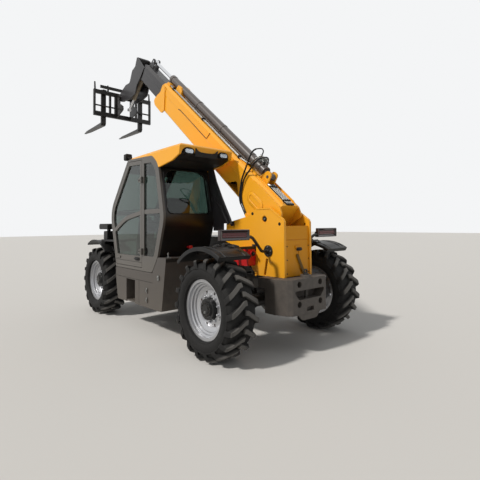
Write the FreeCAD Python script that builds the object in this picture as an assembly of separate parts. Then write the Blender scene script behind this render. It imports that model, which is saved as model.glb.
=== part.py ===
import FreeCAD, Part
import math
import os
from FreeCAD import Vector

# Telehandler with a two-stage telescopic boom, an offset cab and a fork carriage.
# Millimetres. +X runs forward, +Y to the left, +Z up. While it is built, x = 0 is the
# rear axle and z = 0 the ground. At the end every solid is moved along X so that the
# origin lies under the middle of the whole machine.

# Clearances
RUNNING_FIT = 0.05
SEAT_GAP = 0.3
MOVE_GAP = 6
PAD_FIT = 0.5

# Wheels and axles
WHEELBASE = 3134
OVERALL_WIDTH = 2300
TYRE_RADIUS = 556
TYRE_WIDTH = 390
TREAD_DEPTH = 42
BEAD_RADIUS = 308
FLANGE_HEIGHT = 28
FLANGE_INSET = 48
FLANGE_EDGE = 4
LUG_PAIRS = 18
LUG_WIDTH = 54
LUG_ANGLE = 38
TYRE_SIDES = 26
HUB_RADIUS = 122
SPINDLE_RADIUS = 45
KINGPIN_INSET = 70
KINGPIN_RADIUS = 26
KNUCKLE_RADIUS = 62
AXLE_TUBE_RADIUS = 78
DIFF_RADIUS = 165
WHEEL_Y = (OVERALL_WIDTH - TYRE_WIDTH) / 2
KINGPIN_Y = OVERALL_WIDTH / 2 - TYRE_WIDTH - KINGPIN_INSET

# Chassis
FRAME_LOW = 680
FRAME_DEPTH = 169
FRAME_TOP = FRAME_LOW + FRAME_DEPTH
AXLE_DROP = 124
AXLE_Z = FRAME_LOW - AXLE_DROP
FRAME_HALF_WIDTH = 216
FRAME_PLATE = 24
FRAME_FRONT = WHEELBASE + 286
BELLY_Z = 430
MAST_PLATE = 28
MAST_OUTER_Y = FRAME_HALF_WIDTH + MAST_PLATE
MAST_REAR_X = -417
BALLAST_REAR_X = -588
BALLAST_TOP = 856
BALLAST_BOTTOM = 454
BALLAST_HALF = 400
BOLT_HOLE_RADIUS = 36
BOLT_HOLE_Y = 190
BOLT_HOLE_Z = (570, 795)
TOW_PIN_RADIUS = 19

# Boom, in its own frame: s runs along it from the pivot, n square to it, upwards
PIVOT_X = -92
PIVOT_Z = 1548
BOOM_ANGLE = 39.8
PIVOT_PIN_RADIUS = 42
OUTER_HALF_WIDTH = 172
OUTER_BOTTOM = -146
OUTER_TOP = 258
OUTER_WALL = 10
OUTER_FRONT = 3545
DOUBLER = 14
INNER_HALF_WIDTH = 138
INNER_BOTTOM = -118
INNER_TOP = 228
INNER_REAR = 950
INNER_FRONT = 4500

# Hydraulics
TELE_RADIUS = 68
TELE_N = 346
TELE_REAR_S = 440
TELE_FRONT_S = 3588
TELE_ROD_RADIUS = 30
TELE_EYE_S = 4395
TELE_PIN_RADIUS = 18
TELE_PORTS = ((766, 478), (610, 450))
HOSE_RADIUS = 8
HOSE_BEND = 66
HOSE_Y = OUTER_HALF_WIDTH + DOUBLER + 12
LIFT_LOW = (300, 600)
LIFT_HIGH = (460, -228)
LIFT_RADIUS = 65
LIFT_ROD_RADIUS = 34
LIFT_PIN_RADIUS = 30
LIFT_BARREL = 660
LIFT_ROD = 660
TILT_TOP = (3660, 4462)
TILT_EYE = (4262, 3985)
TILT_RADIUS = 42
TILT_ROD_RADIUS = 22
TILT_PIN_RADIUS = 17
TILT_BARREL = 480
TILT_ROD = 520
CARRIAGE_PIVOT = (4400, 4246)
CARRIAGE_PIN_RADIUS = 28

# Cab, side box, hood and fenders
BODY_LEFT = OVERALL_WIDTH / 2 - 70
CAB_LEFT = BODY_LEFT
CAB_RIGHT = 262
CAB_WALL = 46
CAB_BOTTOM = 850
CAB_REAR_X = 884
CAB_FRONT_X = WHEELBASE - 750
DOOR_REAR_X = CAB_REAR_X + 613
DOOR_INSET = 34
DOOR_GAP = 6
WINDOW_FRAME = 58
POST_WIDTH = 92
GLASS = 8
GLASS_EDGE = 0.5
SEAM = 7
HINGE_PIN = 8
HINGE_OUT = 16
HINGE_Y = CAB_LEFT + HINGE_OUT
HINGE_LEVELS = (1120, 2120)
FENDER_GAP = 114
FENDER_RADIUS = TYRE_RADIUS + FENDER_GAP
FENDER_SKIN = 16
FENDER_RIB = 7
DECK_Z = AXLE_Z + FENDER_RADIUS + 30
BOX_WALL = 22
BOX_RIGHT = FRAME_HALF_WIDTH + 60
STEP_X = (CAB_FRONT_X - 670, CAB_FRONT_X - 386)
STEP_DEPTH = 210
HOOD_TOP = 1290
LAMP_Z = AXLE_Z + FENDER_RADIUS + 74
LAMP_HEIGHT = 130
LAMP_OUTER = OVERALL_WIDTH / 2 - 63
LAMP_WIDTH = 464
ROOF_LAMPS = (945, 409)

# Carriage and forks
RAIL_X = 4545
RAIL_THICK = 55
CARRIAGE_HALF = 655
FORK_Y = 425
FORK_WIDTH = 100
FORK_LENGTH = 1160


def box(x0, x1, y0, y1, z0, z1):
    return Part.makeBox(x1 - x0, y1 - y0, z1 - z0, Vector(x0, y0, z0))


def rod(start, end, radius):
    a, b = Vector(*start), Vector(*end)
    return Part.makeCylinder(radius, (b - a).Length, a, b - a)


def rounded_wire(points, place):
    """Closed wire through placed (a, b) points. A third value rounds that corner."""
    flat = [place(p[0], p[1]) for p in points]
    ends = []
    for i, corner in enumerate(flat):
        radius = points[i][2] if len(points[i]) > 2 else 0
        if radius == 0:
            ends.append((corner, corner, None))
            continue
        to_before = (flat[i - 1] - corner).normalize()
        to_after = (flat[(i + 1) % len(flat)] - corner).normalize()
        half = to_before.getAngle(to_after) / 2
        reach = radius / math.tan(half)
        centre = corner + (to_before + to_after).normalize() * (radius / math.sin(half))
        middle = centre + (corner - centre).normalize() * radius
        ends.append((corner + to_before * reach, corner + to_after * reach, middle))
    edges = []
    for i, (first, last, middle) in enumerate(ends):
        if middle is not None:
            edges.append(Part.Arc(first, middle, last).toShape())
        following = ends[(i + 1) % len(ends)][0]
        if (following - last).Length > 1e-6:
            edges.append(Part.LineSegment(last, following).toShape())
    return Part.Wire(edges)


def side_face(points):
    """Face in the XZ plane from (x, z) points, each with an optional rounding radius."""
    return Part.Face(rounded_wire(points, lambda a, b: Vector(a, 0, b)))


def side_prism(points, y0, y1):
    """Outline in the XZ plane, made solid from y0 to y1."""
    face = side_face(points)
    face.translate(Vector(0, y0, 0))
    return face.extrude(Vector(0, y1 - y0, 0))


def plan_prism(points, z0, z1):
    """Outline in the XY plane, made solid from z0 to z1."""
    wire = rounded_wire(points, lambda a, b: Vector(a, b, z0))
    return Part.Face(wire).extrude(Vector(0, 0, z1 - z0))


def front_prism(points, x0, x1):
    """Outline in the YZ plane, made solid from x0 to x1."""
    wire = rounded_wire(points, lambda a, b: Vector(x0, a, b))
    return Part.Face(wire).extrude(Vector(x1 - x0, 0, 0))


def turned(points, centre):
    """Revolves an outline of (y, radius) points about the line along Y through centre."""
    ring = [Vector(0, y, r) for y, r in points]
    face = Part.Face(Part.makePolygon(ring + ring[:1]))
    solid = face.revolve(Vector(0, 0, 0), Vector(0, 1, 0), 360)
    solid.translate(Vector(*centre))
    return solid


def pipe(points, radius, bend):
    """Round bar along straight runs joined by arcs of the bend radius."""
    knots = [Vector(*p) for p in points]
    edges, last = [], knots[0]
    for before, corner, after in zip(knots, knots[1:], knots[2:]):
        back = (before - corner).normalize()
        onward = (after - corner).normalize()
        half = back.getAngle(onward) / 2
        reach = bend / math.tan(half)
        centre = corner + (back + onward).normalize() * (bend / math.sin(half))
        middle = centre + (corner - centre).normalize() * bend
        first, leave = corner + back * reach, corner + onward * reach
        edges.append(Part.LineSegment(last, first).toShape())
        edges.append(Part.Arc(first, middle, leave).toShape())
        last = leave
    edges.append(Part.LineSegment(last, knots[-1]).toShape())
    ring = Part.Wire(Part.makeCircle(radius, knots[0], knots[1] - knots[0]))
    return Part.Wire(edges).makePipeShell([ring], True, True)


def fused(shapes):
    return shapes[0].multiFuse(shapes[1:])


def mirrored(shape):
    return shape.mirror(Vector(0, 0, 0), Vector(0, 1, 0))


def both_sides(shape):
    return Part.makeCompound([shape, mirrored(shape)])


def to_boom(shape):
    """Takes a shape drawn with s along X and n along Z to the raised boom."""
    placed = shape.copy()
    placed.rotate(Vector(0, 0, 0), Vector(0, -1, 0), BOOM_ANGLE)
    placed.translate(Vector(PIVOT_X, 0, PIVOT_Z))
    return placed


def boom_point(s, n):
    a = math.radians(BOOM_ANGLE)
    return (PIVOT_X + s * math.cos(a) - n * math.sin(a),
            PIVOT_Z + s * math.sin(a) + n * math.cos(a))


def between(a, b, distance):
    """The (x, z) point at a distance from a towards b."""
    length = math.dist(a, b)
    return tuple(p + (q - p) * distance / length for p, q in zip(a, b))


def at(point, y=0):
    return (point[0], y, point[1])


# Wheels
def solid_between(ring, other):
    """Solid with two matching flat outlines as its ends and a flat face along each edge."""
    faces = [Part.Face(Part.makePolygon(r + r[:1])) for r in (ring, other)]
    for i in range(len(ring)):
        j = (i + 1) % len(ring)
        quad = [ring[i], ring[j], other[j], other[i]]
        faces.append(Part.Face(Part.makePolygon(quad + quad[:1])))
    return Part.makeSolid(Part.makeShell(faces))


def lug(side, turn):
    """One tread bar: an outline across the tyre, skewed round it, its top following the round."""
    half = TYRE_WIDTH / 2
    lean = math.tan(math.radians(LUG_ANGLE))

    def crown(y, drop):
        return y, math.sqrt(TYRE_RADIUS ** 2 - (abs(y) * lean + LUG_WIDTH / 2) ** 2) - drop

    foot = TYRE_RADIUS - TREAD_DEPTH - 28
    shoulder = TYRE_RADIUS - 2 * TREAD_DEPTH
    outline = [(-14, foot), crown(-14, 0), crown(half - 22, 6), (half - 1, shoulder), (half - 60, shoulder)]
    rings = []
    for edge in (-LUG_WIDTH / 2, LUG_WIDTH / 2):
        rings.append([Vector(edge - y * lean, side * y, r) for y, r in outline])
    bar = solid_between(*rings)
    bar.rotate(Vector(0, 0, 0), Vector(0, 1, 0), turn)
    return bar


def make_carcass(profile):
    """Flat-sided ring from (y, radius) points."""
    rings = []
    for i in range(TYRE_SIDES):
        angle = 2 * math.pi * i / TYRE_SIDES
        rings.append([Vector(r * math.sin(angle), y, r * math.cos(angle)) for y, r in profile])
    faces = []
    for k, ring in enumerate(rings):
        following = rings[(k + 1) % TYRE_SIDES]
        for i in range(len(profile)):
            j = (i + 1) % len(profile)
            quad = [ring[i], ring[j], following[j], following[i]]
            faces.append(Part.Face(Part.makePolygon(quad + quad[:1])))
    return Part.makeSolid(Part.makeShell(faces))


def bore_radius():
    """Corner radius of the flat-sided tyre's bore: its flats just clear the round rim."""
    return (BEAD_RADIUS + SEAT_GAP) / math.cos(math.pi / TYRE_SIDES)


def make_tyre():
    half = TYRE_WIDTH / 2
    seat = half - FLANGE_INSET - FLANGE_EDGE - 2 * SEAT_GAP
    flange = bore_radius() + FLANGE_HEIGHT
    tread = TYRE_RADIUS - TREAD_DEPTH
    profile = [(-seat, bore_radius()), (-seat, flange), (-half + 2, (flange + tread) / 2), (-half + 34, tread)]
    profile += [(-y, r) for y, r in reversed(profile)]
    pitch = 360 / LUG_PAIRS
    bars = [lug(side, pitch * (i + 0.25 * side)) for i in range(LUG_PAIRS) for side in (1, -1)]
    return make_carcass(profile).multiFuse(bars)


def make_rim():
    """Rim stepped down to a dished disc with eight holes, and the hub with its cap."""
    edge = TYRE_WIDTH / 2 - FLANGE_INSET
    lip = edge - FLANGE_EDGE - SEAT_GAP
    seat = BEAD_RADIUS - SEAT_GAP
    flange = BEAD_RADIUS + FLANGE_HEIGHT
    bore = SPINDLE_RADIUS + RUNNING_FIT
    # y and radius, from the seat round the outer face, in to the disc and back out behind it
    band = [(-edge, flange), (-lip, flange), (-lip, seat), (lip, seat), (lip, flange), (edge, flange),
            (edge - 2, seat - 6), (edge - 32, seat - 14), (edge - 38, seat - 30), (edge - 62, seat - 34),
            (edge - 68, seat - 52), (edge - 84, seat - 58), (32, seat - 60), (0, seat - 30),
            (-edge + 24, seat - 16), (-edge + 2, seat - 6)]
    disc = [(edge - 84, seat - 54), (46, seat - 104), (52, HUB_RADIUS), (100, HUB_RADIUS - 5), (100, 88),
            (118, 82), (118, bore), (-60, bore), (-60, HUB_RADIUS - 4), (28, seat - 140), (34, seat - 54)]
    holes = []
    for i in range(8):
        hole = Part.makeCylinder(17, 120, Vector(0, 0, seat - 122), Vector(0, 1, 0))
        hole.rotate(Vector(0, 0, 0), Vector(0, 1, 0), 45 * i + 22.5)
        holes.append(hole)
    plate = turned(disc, (0, 0, 0)).cut(Part.makeCompound(holes))
    cap = Part.makeCylinder(bore + 6, 50, Vector(0, 76, 0), Vector(0, 1, 0))
    return turned(band, (0, 0, 0)).multiFuse([plate, cap])


def make_knuckle():
    """Left knuckle about its kingpin, which stands at the origin."""
    hub_y = WHEEL_Y - KINGPIN_Y
    back = hub_y - 60 - MOVE_GAP
    barrel = Part.makeCylinder(KNUCKLE_RADIUS, 220, Vector(0, 0, -110))
    pins = Part.makeCylinder(KINGPIN_RADIUS, 330, Vector(0, 0, -165))
    spindle = Part.makeCylinder(SPINDLE_RADIUS, hub_y + 66, Vector(0, 0, 0), Vector(0, 1, 0))
    flange = Part.makeCylinder(112, 40, Vector(0, back - 40, 0), Vector(0, 1, 0))
    neck = Part.makeCylinder(74, back - 40, Vector(0, 0, 0), Vector(0, 1, 0))
    arm = box(-200, 0, -16, 16, -16, 16)
    return barrel.multiFuse([pins, spindle, flange, neck, arm])


def make_axle(x):
    """Axle housing with its differential and the yokes that hold the kingpins."""
    z = AXLE_Z
    end = KINGPIN_Y - KNUCKLE_RADIUS - MOVE_GAP - 14
    parts = [rod((x, -end, z), (x, end, z), AXLE_TUBE_RADIUS)]
    parts.append(turned([(-190, 0), (-190, 90), (-110, DIFF_RADIUS), (110, DIFF_RADIUS),
                         (190, 90), (190, 0)], (x, 0, z)))
    for side in (1, -1):
        near, far = sorted((side * (end - 40), side * end))
        parts.append(box(x - 50, x + 50, near, far, z - 152, z + 152))
        for low in (z - 152, z + 116):
            near, far = sorted((side * (end - 20), side * (KINGPIN_Y + 20)))
            parts.append(box(x - 50, x + 50, near, far, low, low + 36))
            parts.append(Part.makeCylinder(56, 36, Vector(x, side * KINGPIN_Y, low)))
    housing = fused(parts)
    for side in (1, -1):
        bore = Part.makeCylinder(KINGPIN_RADIUS + RUNNING_FIT, 400,
                                 Vector(x, side * KINGPIN_Y, z - 200))
        housing = housing.cut(bore)
    rail = FRAME_HALF_WIDTH - FRAME_PLATE / 2
    saddles = [box(x - 70, x + 70, side * rail - 30, side * rail + 30, z + 40, FRAME_LOW)
               for side in (1, -1)]
    return housing.multiFuse(saddles)


def add_wheels(parts):
    tyre, rim, knuckle = make_tyre(), make_rim(), make_knuckle()
    for end, x in (("front", WHEELBASE), ("rear", 0)):
        parts[end + "_axle"] = make_axle(x)
        for name, side in (("left", 1), ("right", -1)):
            for kind, shape, y in (("tyre", tyre, WHEEL_Y), ("rim", rim, WHEEL_Y),
                                   ("knuckle", knuckle, KINGPIN_Y)):
                placed = shape.copy() if side > 0 else mirrored(shape)
                placed.translate(Vector(x, side * y, AXLE_Z))
                parts["_".join((end, name, kind))] = placed


# Chassis
def frame_side():
    inner = FRAME_HALF_WIDTH - FRAME_PLATE
    front = WHEELBASE - 374
    outline = [(-130, FRAME_LOW), (260, FRAME_LOW), (330, BELLY_Z, 40), (front, BELLY_Z, 40),
               (front + 100, FRAME_LOW), (FRAME_FRONT - 60, FRAME_LOW), (FRAME_FRONT, FRAME_LOW + 60),
               (FRAME_FRONT, FRAME_TOP), (MAST_REAR_X + 10, FRAME_TOP), (MAST_REAR_X + 10, FRAME_LOW + 60),
               (-130, FRAME_LOW + 60)]
    return side_prism(outline, inner, FRAME_HALF_WIDTH)


def make_frame():
    inner = FRAME_HALF_WIDTH - FRAME_PLATE
    front = WHEELBASE - 434
    members = [frame_side(), mirrored(frame_side())]
    # x0, x1, z0, z1 of each cross member
    for x0, x1, z0, z1 in ((MAST_REAR_X + 17, MAST_REAR_X + 47, FRAME_TOP - 104, FRAME_TOP),
                           (560, 580, BELLY_Z + 10, FRAME_TOP - 19),
                           (1500, 1520, BELLY_Z + 10, FRAME_TOP - 19),
                           (front, front + 20, BELLY_Z + 10, FRAME_TOP - 19),
                           (FRAME_FRONT - 24, FRAME_FRONT, FRAME_TOP - 104, FRAME_TOP),
                           (560, front + 20, BELLY_Z + 10, BELLY_Z + 26),
                           (front, FRAME_FRONT, FRAME_TOP - 20, FRAME_TOP)):
        members.append(box(x0, x1, -inner, inner, z0, z1))
    x, z = LIFT_LOW
    lug_y = LIFT_RADIUS + 9
    for side in (1, -1):
        near, far = sorted((side * lug_y, side * (lug_y + 24)))
        members.append(box(x - 50, 575, near, far, z - 60, z + 50))
    pin_hole = rod((x, -300, z), (x, 300, z), LIFT_PIN_RADIUS + RUNNING_FIT)
    return fused(members).cut(pin_hole)


def make_mast():
    """Two cheek plates with a forward horn, pierced for the boom's pin and slotted for a cable."""
    inner = MAST_OUTER_Y - MAST_PLATE
    plate = side_prism([(70, FRAME_TOP), (312, 1138, 120), (690, 1262, 30), (650, 1440), (650, 1506, 20),
                        (228, 1586, 200), (58, 1683, 60), (-188, 1683, 60), (-397, 1543, 20),
                        (MAST_REAR_X, 1508, 20), (MAST_REAR_X, FRAME_TOP)], inner, MAST_OUTER_Y)
    cuts = [rod((x, 0, z), (x, 400, z), radius) for x, z, radius in
            ((PIVOT_X, PIVOT_Z, PIVOT_PIN_RADIUS + RUNNING_FIT), (-341, 1485, 16), (123, 1620, 16))]
    cuts.append(side_prism([(-147, 1060), (-111, 1074, 15), (-70, FRAME_TOP + 12), (-104, FRAME_TOP + 12)],
                           inner - 1, MAST_OUTER_Y + 1))
    plate = plate.cut(Part.makeCompound(cuts))
    rim = side_prism([(MAST_REAR_X, FRAME_TOP + 12), (MAST_REAR_X + 14, FRAME_TOP + 12), (MAST_REAR_X + 14, 1500),
                      (-386, 1532), (-183, 1668), (54, 1668), (54, 1683), (-188, 1683, 60),
                      (-397, 1543, 20), (MAST_REAR_X, 1508, 20)], MAST_OUTER_Y - 2, MAST_OUTER_Y + 5)
    half = plate.fuse(rim)
    ties = [rod((-300, -inner, 950), (-300, inner, 950), 40),
            box(MAST_REAR_X + 57, MAST_REAR_X + 79, -inner, inner, FRAME_TOP + 1, 1120)]
    return half.multiFuse([mirrored(half)] + ties)


def make_rear_panel():
    """Service panel with a joint line across it, a pressed handle slot and its latch."""
    inner = MAST_OUTER_Y - MAST_PLATE
    x0, x1 = MAST_REAR_X + 16, MAST_REAR_X + 34
    panel = box(x0, x1, -inner, inner, BALLAST_TOP + 4, 1462)
    joint = box(x0 - 1, x0 + 6, -inner - 1, inner + 1, 1292, 1292 + SEAM)
    slot = front_prism([(-20, 1165, 8), (12, 1165, 8), (-48, 900, 12), (-84, 900, 12)], x0 - 1, x0 + 5)
    latch = front_prism([(-52, 1226, 10), (52, 1226, 10), (34, 1186, 10), (-34, 1186, 10)], x0 - 12, x0 + 2)
    return panel.cut(Part.makeCompound([joint, slot])).fuse(latch)


def make_ballast():
    """Cast block with chamfered rear corners, bolt holes, a tow pocket, its boss and a round guard."""
    rear, half = BALLAST_REAR_X, BALLAST_HALF
    plan = [(rear, -half + 100, 30), (rear + 46, -half + 48, 30), (-400, -half, 20), (-135, -half),
            (-135, half), (-400, half, 20), (rear + 46, half - 48, 30), (rear, half - 100, 30)]
    body = plan_prism(plan, BALLAST_BOTTOM, BALLAST_TOP)
    boss = Part.makeCylinder(62, 118, Vector(rear + 64, 0, BALLAST_TOP - 86))
    guard = front_prism([(-205, BALLAST_BOTTOM + 2), (205, BALLAST_BOTTOM + 2), (130, 380, 70), (-130, 380, 70)],
                        rear + 12, rear + 30)
    body = body.multiFuse([boss, guard])
    cuts = [box(MAST_REAR_X + 5, 0, -FRAME_HALF_WIDTH - 1, FRAME_HALF_WIDTH + 1, FRAME_TOP - 114, 900),
            box(-240, 0, -500, 500, 300, 740),
            front_prism([(-195, 621, 20), (195, 621, 20), (290, 725, 20), (-290, 725, 20)], rear - 40, rear + 130),
            front_prism([(-64, 478), (64, 478), (64, 528, 10), (-64, 528, 10)], rear - 1, rear + 40)]
    for y in (-BOLT_HOLE_Y, BOLT_HOLE_Y):
        for z in BOLT_HOLE_Z:
            cuts.append(rod((rear - 10, y, z), (rear + 60, y, z), BOLT_HOLE_RADIUS))
    cuts.append(rod((rear + 64, 0, 560), (rear + 64, 0, 900), TOW_PIN_RADIUS + SEAT_GAP))
    cuts.append(box(MAST_REAR_X - SEAT_GAP, 0, -MAST_OUTER_Y - 6, MAST_OUTER_Y + 6, FRAME_TOP - SEAT_GAP, 900))
    return body.cut(Part.makeCompound(cuts))


def make_tow_pin():
    x = BALLAST_REAR_X + 64
    top = BALLAST_TOP + 32
    shaft = rod((x, 0, 570), (x, 0, top + 10), TOW_PIN_RADIUS)
    head = rod((x, 0, top + SEAT_GAP), (x, 0, top + 16), 36)
    eye = rod((x - 7, 0, top + 38), (x + 7, 0, top + 38), 30).cut(rod((x - 8, 0, top + 40), (x + 8, 0, top + 40), 14))
    return shaft.multiFuse([head, eye])


def make_side_box():
    """Tank and step box: a raised rear end, a step recess, a joint line, a handle and two latches."""
    x0, x1 = STEP_X
    top = CAB_BOTTOM - MOVE_GAP
    rear, front, wall = CAB_REAR_X, CAB_FRONT_X, BOX_WALL
    body = side_prism([(rear - 48, 1062, 12), (rear + 164, 1062, 10), (rear + 316, top), (front, top), (front, 709),
                       (front - 79, 361, 20), (rear + 68, 367, 20)], BOX_RIGHT, BODY_LEFT)
    room = side_prism([(rear - 18, 1062 - wall), (rear + 152, 1062 - wall), (rear + 303, top - wall),
                       (front - wall, top - wall), (front - wall, 712), (front - 97, 361 + wall),
                       (rear + 88, 367 + wall)], BOX_RIGHT + wall, BODY_LEFT - wall)
    room = room.cut(box(x0 - wall, x1 + wall, BODY_LEFT - STEP_DEPTH - wall, BODY_LEFT, 300, 700 + wall))
    cuts = [room, box(x0, x1, BODY_LEFT - STEP_DEPTH, BODY_LEFT + 10, 300, 700),
            box(rear + 300, front + 1, BODY_LEFT - SEAM, BODY_LEFT + 1, 712, 712 + SEAM),
            box(x0 - 130, x0 - 130 + SEAM, BODY_LEFT - SEAM, BODY_LEFT + 1, 300, 713)]
    body = body.cut(cuts[0]).cut(Part.makeCompound(cuts[1:2])).cut(Part.makeCompound(cuts[2:]))
    tread = box(x0 - 1, x1 + 1, BODY_LEFT - STEP_DEPTH - 1, BODY_LEFT - 10, 372, 392)
    slots = [box(x0 + 24, x1 - 24, BODY_LEFT - y, BODY_LEFT - y + 22, 360, 400) for y in (180, 136, 92, 48)]
    adds = [tread.cut(Part.makeCompound(slots)),
            box(1300, WHEELBASE - 934, FRAME_HALF_WIDTH, BOX_RIGHT + 1, 500, 600),
            side_prism([(1004, 770, 10), (1046, 762, 10), (1052, 822, 10), (1012, 830, 10)],
                       BODY_LEFT - 1, BODY_LEFT + 10)]
    adds += [box(x0 - 392, x0 - 370, BODY_LEFT - 1, BODY_LEFT + 9, z - 26, z + 26) for z in (456, 585)]
    adds += [Part.makeCylinder(38, MOVE_GAP - SEAT_GAP, Vector(x, y, top))
             for x in (rear + 456, front - 114) for y in (CAB_RIGHT + 118, CAB_LEFT - 100)]
    return body.multiFuse(adds)


def cab_front_x(z):
    return CAB_FRONT_X + (z - 912) * 222 / (1706 - 912)


def make_engine_hood():
    """Hollow hood over the engine, with a louvred side, a grille at its rear end and a lid joint."""
    rear, front = CAB_REAR_X, CAB_FRONT_X
    shell = side_prism([(rear - 48, HOOD_TOP - 110, 70), (rear + 60, HOOD_TOP, 60), (cab_front_x(HOOD_TOP), HOOD_TOP, 16),
                        (front, 912), (front, 709), (front - 79, 361, 20), (rear + 68, 367, 20)],
                       -BODY_LEFT, -BOX_RIGHT)
    room = side_prism([(rear + 40, HOOD_TOP - 90), (rear + 70, HOOD_TOP - 26), (front + 56, HOOD_TOP - 26),
                       (front - 34, 912), (front - 34, 720), (front - 114, 300), (rear + 106, 300)],
                      -BODY_LEFT + 26, -BOX_RIGHT - 26)
    cuts = []
    for z in range(880, 1180, 50):
        cuts.append(box(1250, 1750, -BODY_LEFT - 10, -BODY_LEFT + 30, z, z + 26))
        cuts.append(box(1820, front - 60, -BODY_LEFT - 10, -BODY_LEFT + 30, z, z + 26))
    for i in range(10):
        y = -BODY_LEFT + 110 + 60 * i
        cuts.append(box(rear - 60, rear + 120, y, y + 34, 620, 1080))
    joint = box(rear - 60, front + 200, -BODY_LEFT - 1, -BODY_LEFT + SEAM, 846, 846 + SEAM)
    bracket = box(1300, WHEELBASE - 934, -BOX_RIGHT - 1, -FRAME_HALF_WIDTH, 500, 600)
    return shell.cut(room).cut(Part.makeCompound(cuts)).cut(joint).fuse(bracket)


def make_exhaust():
    """Stack with a turned-back tip, on a flange on the hood."""
    x, y = CAB_REAR_X + 196, -BODY_LEFT + 200
    foot = rod((x, y, HOOD_TOP + SEAT_GAP), (x, y, HOOD_TOP + 14), 62)
    stack = pipe([(x, y, HOOD_TOP + 5), (x, y, HOOD_TOP + 210), (x - 130, y, HOOD_TOP + 270)], 34, 70)
    return foot.fuse(stack)


def make_engine():
    low = -BODY_LEFT + 150
    mount = -BOX_RIGHT - 26
    block = box(CAB_REAR_X + 266, CAB_FRONT_X - 334, low, mount - 34, 520, 1180)
    return block.fuse(box(CAB_REAR_X + 416, CAB_FRONT_X - 484, mount - 35, mount - SEAT_GAP, 560, 700))


def arc_slice(x, radius, first, last, y0, y1):
    """Pie-shaped solid about a wheel's centre, from one angle to another, measured from forward."""
    ring = Part.makeCylinder(radius, y1 - y0, Vector(x, y0, AXLE_Z), Vector(0, 1, 0))
    reach = 3 * radius
    corners = [(x, AXLE_Z)]
    for share in (0, 0.5, 1):
        a = math.radians(first + (last - first) * share)
        corners.append((x + reach * math.cos(a), AXLE_Z + reach * math.sin(a)))
    return ring.common(side_prism(corners, y0, y1))


def fender_arc(x, first, last, y0):
    """Curved guard with raised ribs round it."""
    y1 = OVERALL_WIDTH / 2
    outer = FENDER_RADIUS + FENDER_SKIN
    guard = arc_slice(x, outer, first, last, y0, y1)
    ribs = [arc_slice(x, outer + FENDER_RIB, first + 1, last - 1, y, y + 26)
            for y in (y0 + 30, (y0 + y1) / 2 - 60, (y0 + y1) / 2 + 40, y1 - 26)]
    hollow = Part.makeCylinder(FENDER_RADIUS, y1 - y0 + 2, Vector(x, y0 - 1, AXLE_Z), Vector(0, 1, 0))
    return guard.multiFuse(ribs).cut(hollow)


def make_rear_fenders():
    """Guard over each rear wheel, on two stays from the mast."""
    guard = fender_arc(0, 47, 120, 470)
    top = AXLE_Z + FENDER_RADIUS
    stays = [box(x, x + 50, MAST_OUTER_Y, 480, top - 7, top + 9) for x in (-80, 60)]
    hollow = Part.makeCylinder(FENDER_RADIUS, 300, Vector(0, MAST_OUTER_Y - 10, AXLE_Z), Vector(0, 1, 0))
    return both_sides(guard.fuse(fused(stays).cut(hollow)))


def make_front_fenders():
    """Guard over each front wheel, with a deck that carries it from the cab or hood."""
    guard = fender_arc(WHEELBASE, 62, 132, 700)
    low = DECK_Z - 28
    deck = side_prism([(cab_front_x(low) + SEAT_GAP, low), (cab_front_x(DECK_Z) + SEAT_GAP, DECK_Z),
                       (WHEELBASE - 120, DECK_Z, 20), (WHEELBASE - 180, low - 60), (WHEELBASE - 340, low)],
                      700, BODY_LEFT - 2)
    lower = Part.makeCylinder(FENDER_RADIUS, 500, Vector(WHEELBASE, 650, AXLE_Z), Vector(0, 1, 0))
    return both_sides(guard.fuse(deck.cut(lower)))


def make_tail_lamps():
    """Long lamp in a frame, its lens ribbed along."""
    x0, x1 = -242, -196
    y0, y1 = LAMP_OUTER - LAMP_WIDTH, LAMP_OUTER
    top = LAMP_Z + LAMP_HEIGHT
    body = front_prism([(y0, LAMP_Z, 8), (y1, LAMP_Z, 8), (y1, top, 8), (y0, top, 8)], x0, x1)
    lens = box(x0 - 1, x0 + 8, y0 + 26, y1 - 26, LAMP_Z + 22, top - 22)
    ribs = [box(x0 + 2, x0 + 10, y0 + 40, y1 - 40, z - 4, z + 4)
            for z in (LAMP_Z + 40, LAMP_Z + 65, LAMP_Z + 90)]
    return both_sides(body.cut(lens).multiFuse(ribs))


def make_lamp_arms():
    y = MAST_OUTER_Y + 5
    end_z = LAMP_Z + LAMP_HEIGHT / 2 - 3
    end_y = LAMP_OUTER - LAMP_WIDTH - SEAT_GAP
    arm = pipe([(-155, y, 1160), (-155, y + 100, 1160), (-219, y + 200, end_z), (-219, end_y, end_z)], 17, 50)
    disc = rod((-155, MAST_OUTER_Y, 1160), (-155, y + 16, 1160), 70)
    bolts = [rod((-155 + dx, y + 10, 1160 + dz), (-155 + dx, y + 24, 1160 + dz), 10)
             for dx, dz in ((0, 46), (0, -46), (46, 0), (-46, 0))]
    return both_sides(arm.multiFuse([disc] + bolts))


def make_service_box():
    """Box on the left mast plate, with a round fitting on its rear end."""
    y0 = MAST_OUTER_Y + SEAT_GAP
    body = side_prism([(72, 968, 14), (346, 968, 14), (346, 1150, 30), (316, 1178, 10), (72, 1178, 14)], y0, y0 + 130)
    return body.fuse(rod((48, y0 + 66, 1120), (80, y0 + 66, 1120), 38))


# Cab
def cab_outline():
    rear, front = CAB_REAR_X, CAB_FRONT_X
    return [(front, CAB_BOTTOM, 30), (rear + 326, CAB_BOTTOM, 60), (rear + 176, 1060, 150), (rear, 1575, 400),
            (rear + 153, 2301, 300), (rear + 317, 2424, 120), (front - 434, 2465, 120), (front + 222, 1706, 400),
            (front, 912, 20)]


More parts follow.
